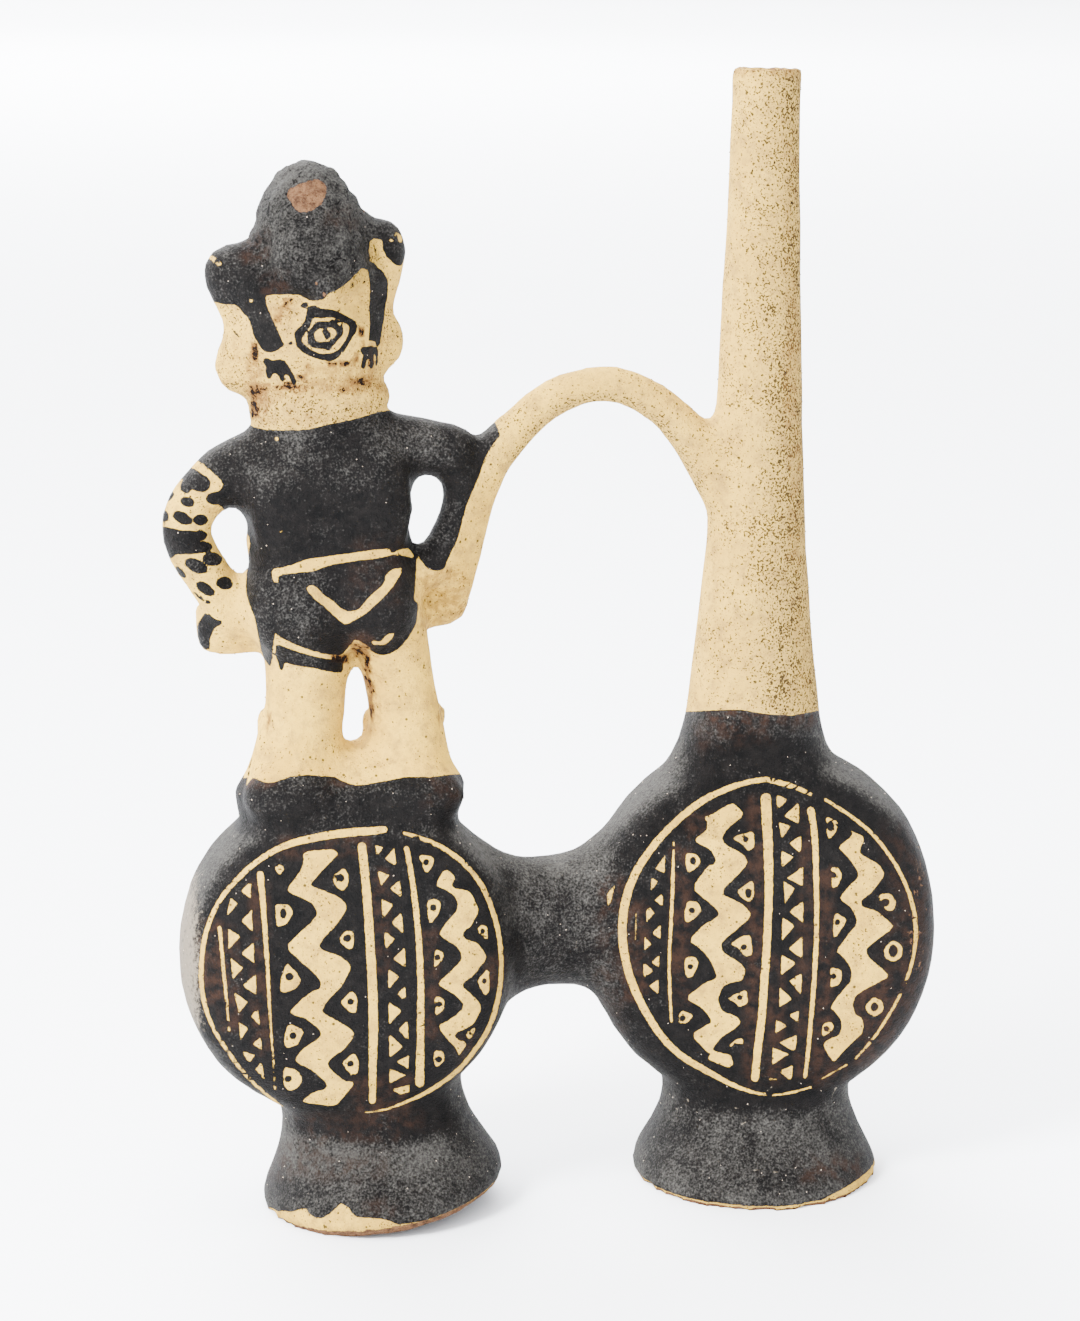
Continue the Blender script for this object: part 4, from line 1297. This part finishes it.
    # Soil: a tan stain round black-brown spots
    level = add(tree, "ShaderNodeMath", {0: soil, 1: 0.34, 2: -0.34}, operation="MULTIPLY_ADD")
    level = add(tree, "ShaderNodeMath", {0: crumbs, 1: level}, operation="ADD")
    stained = add(tree, "ShaderNodeMapRange", {0: level, 1: 0.28, 2: 0.52, 4: 0.8}, **SMOOTH)
    stained = add(tree, "ShaderNodeMath", {0: stained, 1: soil}, operation="MULTIPLY")
    caked = add(tree, "ShaderNodeMapRange", {0: level, 1: 0.55, 2: 0.61}, **SMOOTH)

    colour = add(tree, "ShaderNodeMix", {0: stained, 6: cream, 7: linear(SOIL_COLOURS[1])}, **COLOUR_MIX)
    colour = add(tree, "ShaderNodeMix", {0: dark, 6: colour, 7: black}, **COLOUR_MIX)
    colour = add(tree, "ShaderNodeMix", {0: caked, 6: colour, 7: linear(SOIL_COLOURS[0])}, **COLOUR_MIX)
    colour = add(tree, "ShaderNodeMix", {0: chipped, 6: colour, 7: raw}, **COLOUR_MIX)
    fray = add(tree, "ShaderNodeMath", {0: grains, 1: 1.0, 2: -0.5}, operation="MULTIPLY_ADD")
    fray = add(tree, "ShaderNodeMath", {0: crack, 1: fray}, operation="ADD")
    drawn_crack = add(tree, "ShaderNodeMapRange", {0: fray, 1: -0.05, 2: 0.15}, **SMOOTH)
    # The roughest places are pitted, and crossed by fine cracks of their own, in a net 4 mm wide
    heavy = add(tree, "ShaderNodeMapRange", {0: rough, 1: 0.5, 2: 0.9}, **SMOOTH)
    shut = add(tree, "ShaderNodeMath", {0: 1.0, 1: chipped}, operation="SUBTRACT")
    pits = add(tree, "ShaderNodeMath", {0: pepper, 1: heavy}, operation="MULTIPLY")
    broken = add(tree, "ShaderNodeMath", {0: drawn_crack, 1: pits}, operation="MAXIMUM")
    broken = add(tree, "ShaderNodeMath", {0: broken, 1: shut}, operation="MULTIPLY")
    bent = add(tree, "ShaderNodeVectorMath", {0: at, "Scale": MM / 4.0}, operation="SCALE")
    shift = add(tree, "ShaderNodeTexNoise", {"Vector": at, "Scale": MM / 3.0, "Detail": 4.0}, "Color")
    bent = add(tree, "ShaderNodeVectorMath", {0: bent, 1: shift}, operation="ADD")
    net = add(tree, "ShaderNodeTexVoronoi", {"Vector": bent, "Scale": 1.0}, feature="DISTANCE_TO_EDGE")
    net = add(tree, "ShaderNodeMapRange", {0: net, 1: 0.02, 2: 0.09, 3: 1.0, 4: 0.0}, **SMOOTH)
    some = add(tree, "ShaderNodeMapRange", {0: crumbs, 1: 0.50, 2: 0.60}, **SMOOTH)
    net = add(tree, "ShaderNodeMath", {0: net, 1: some}, operation="MULTIPLY")
    open_net = add(tree, "ShaderNodeMath", {0: heavy, 1: shut}, operation="MULTIPLY")
    net = add(tree, "ShaderNodeMath", {0: net, 1: open_net}, operation="MULTIPLY")
    open_crack = add(tree, "ShaderNodeMath", {0: broken, 1: net}, operation="MAXIMUM")
    colour = add(tree, "ShaderNodeMix", {0: open_crack, 6: colour, 7: linear(CRACK_COLOUR)}, **COLOUR_MIX)
    tree.links.new(colour, shader.inputs["Base Color"])

    # The rubbed dark slip is the smoothest, and bare clay the driest
    dryness = add(tree, "ShaderNodeMapRange", {0: dark, 3: 0.84, 4: 0.60})
    dryness = add(tree, "ShaderNodeMath", {0: grey, 1: 0.2, 2: dryness}, operation="MULTIPLY_ADD")
    dryness = add(tree, "ShaderNodeMath", {0: dryness, 1: chipped}, operation="MAXIMUM")
    tree.links.new(dryness, shader.inputs["Roughness"])
    shader.inputs["Specular IOR Level"].default_value = 0.05

    # Relief in millimetres: grain, lumps, the slip's own thickness, chips, soil, cracks and grit
    coarse = add(tree, "ShaderNodeMath", {0: rough, 1: 1.40, 2: 0.26}, operation="MULTIPLY_ADD")
    height = add(tree, "ShaderNodeMath", {0: grains, 1: coarse}, operation="MULTIPLY")
    height = add(tree, "ShaderNodeMath", {0: fine, 1: 0.38, 2: height}, operation="MULTIPLY_ADD")
    lump = add(tree, "ShaderNodeMath", {0: rough, 1: 0.55, 2: 0.12}, operation="MULTIPLY_ADD")
    lump = add(tree, "ShaderNodeMath", {0: lump, 1: mottle}, operation="MULTIPLY")
    height = add(tree, "ShaderNodeMath", {0: height, 1: lump}, operation="ADD")
    height = add(tree, "ShaderNodeMath", {0: dark, 1: 0.05, 2: height}, operation="MULTIPLY_ADD")
    height = add(tree, "ShaderNodeMath", {0: chipped, 1: -0.22, 2: height}, operation="MULTIPLY_ADD")
    height = add(tree, "ShaderNodeMath", {0: pepper, 1: -0.05, 2: height}, operation="MULTIPLY_ADD")
    height = add(tree, "ShaderNodeMath", {0: caked, 1: 0.16, 2: height}, operation="MULTIPLY_ADD")
    height = add(tree, "ShaderNodeMath", {0: broken, 1: -0.35, 2: height}, operation="MULTIPLY_ADD")
    bump = add(tree, "ShaderNodeBump", {"Height": height, "Strength": 1.0, "Distance": 0.001})
    tree.links.new(bump, shader.inputs["Normal"])
    return made


clay.materials.clear()
clay.materials.append(slipped_clay())
for polygon in clay.polygons:
    polygon.material_index = 0
clay.shade_smooth()

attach(vessel, "root")
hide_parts("whistling_vessel")

# Grains of temper
# Coarse river sand was kneaded into the clay so that it fired without cracking. A few black grains
# stand out of the cream slip, and a few pale ones out of the dark.

# Each lot's piece, the field that says where it lies, grains per square metre, radius, seed and colours
GRAIN_LOTS = (
    ("black_sand_grains", "sandy", 42000.0, 0.00027, 11, "#0B0908", "#2A211A"),
    ("pale_sand_grains", "gritty", 9000.0, 0.00019, 23, "#8E7F70", "#C9B9A6")
)


def grain_rock(name, colours):
    """River sand, a hard dull stone: each grain flecked at a fifth of a millimetre."""
    made = bpy.data.materials.new(name)
    made.use_nodes = True
    tree = made.node_tree
    shader = tree.nodes["Principled BSDF"]
    at = add(tree, "ShaderNodeTexCoord", give="Object")
    flecks = add(tree, "ShaderNodeTexNoise", {"Vector": at, "Scale": MM / 0.2, "Detail": 2.0})
    pair = {0: flecks, 6: linear(colours[0]), 7: linear(colours[1])}
    tree.links.new(add(tree, "ShaderNodeMix", pair, **COLOUR_MIX), shader.inputs["Base Color"])
    bump = add(tree, "ShaderNodeBump", {"Height": flecks, "Strength": 0.6, "Distance": 0.0001})
    tree.links.new(bump, shader.inputs["Normal"])
    shader.inputs["Roughness"].default_value = 0.8
    shader.inputs["Specular IOR Level"].default_value = 0.07
    return made


FULL_TURN = 6.28
LEAST_SHAPE, MOST_SHAPE = (0.35, 0.35, 0.35), (1.25, 1.0, 0.9)
strewn = bpy.data.node_groups.new("strewn_grains", "GeometryNodeTree")
for label, kind in (
    ("Clay", "NodeSocketGeometry"), ("Where", "NodeSocketString"),
    ("Grains per square metre", "NodeSocketFloat"), ("Grain radius", "NodeSocketFloat"),
    ("Seed", "NodeSocketInt"), ("Rock", "NodeSocketMaterial")
):
    strewn.interface.new_socket(name=label, in_out="INPUT", socket_type=kind)
strewn.interface.new_socket(name="Grains", in_out="OUTPUT", socket_type="NodeSocketGeometry")
given = strewn.nodes.new("NodeGroupInput").outputs
share = add(strewn, "GeometryNodeInputNamedAttribute", {"Name": given["Where"]}, data_type="FLOAT")
density = add(strewn, "ShaderNodeMath", {0: share, 1: given["Grains per square metre"]}, operation="MULTIPLY")
thrown = {"Mesh": given["Clay"], "Density": density, "Seed": given["Seed"]}
points = add(strewn, "GeometryNodeDistributePointsOnFaces", thrown)
turn = {0: (0.0, 0.0, 0.0), 1: (FULL_TURN, FULL_TURN, FULL_TURN), "Seed": given["Seed"]}
turn = add(strewn, "FunctionNodeRandomValue", turn, data_type="FLOAT_VECTOR")
shape = {0: LEAST_SHAPE, 1: MOST_SHAPE, "Seed": given["Seed"]}
shape = add(strewn, "FunctionNodeRandomValue", shape, data_type="FLOAT_VECTOR")
shape = add(strewn, "ShaderNodeVectorMath", {0: shape, "Scale": given["Grain radius"]}, operation="SCALE")
pebble = add(strewn, "GeometryNodeMeshIcoSphere", {"Radius": 1.0, "Subdivisions": 1})
placed = {"Points": points, "Instance": pebble, "Rotation": turn, "Scale": shape}
placed = add(strewn, "GeometryNodeInstanceOnPoints", placed)
real = add(strewn, "GeometryNodeRealizeInstances", {"Geometry": placed})
finished = add(strewn, "GeometryNodeSetMaterial", {"Geometry": real, "Material": given["Rock"]})
strewn.links.new(finished, strewn.nodes.new("NodeGroupOutput").inputs["Grains"])

for name, where, number, radius, seed, *colours in GRAIN_LOTS:
    grains = bpy.data.objects.new(name, clay.copy())
    bpy.context.scene.collection.objects.link(grains)
    strew = grains.modifiers.new("strewn_grains", "NODES")
    strew.node_group = strewn
    slots = {item.name: item.identifier for item in strewn.interface.items_tree if item.in_out == "INPUT"}
    strew[slots["Where"]] = where
    strew[slots["Grains per square metre"]] = number
    strew[slots["Grain radius"]] = radius
    strew[slots["Seed"]] = seed
    strew[slots["Rock"]] = grain_rock(name, colours)
    sand = applied(grains)
    spots = np.clip(points_of(sand), np.array(cad_box[0]), np.array(cad_box[1]))
    sand.vertices.foreach_set("co", spots.ravel())
    sand.shade_smooth()
    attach(grains, "root")
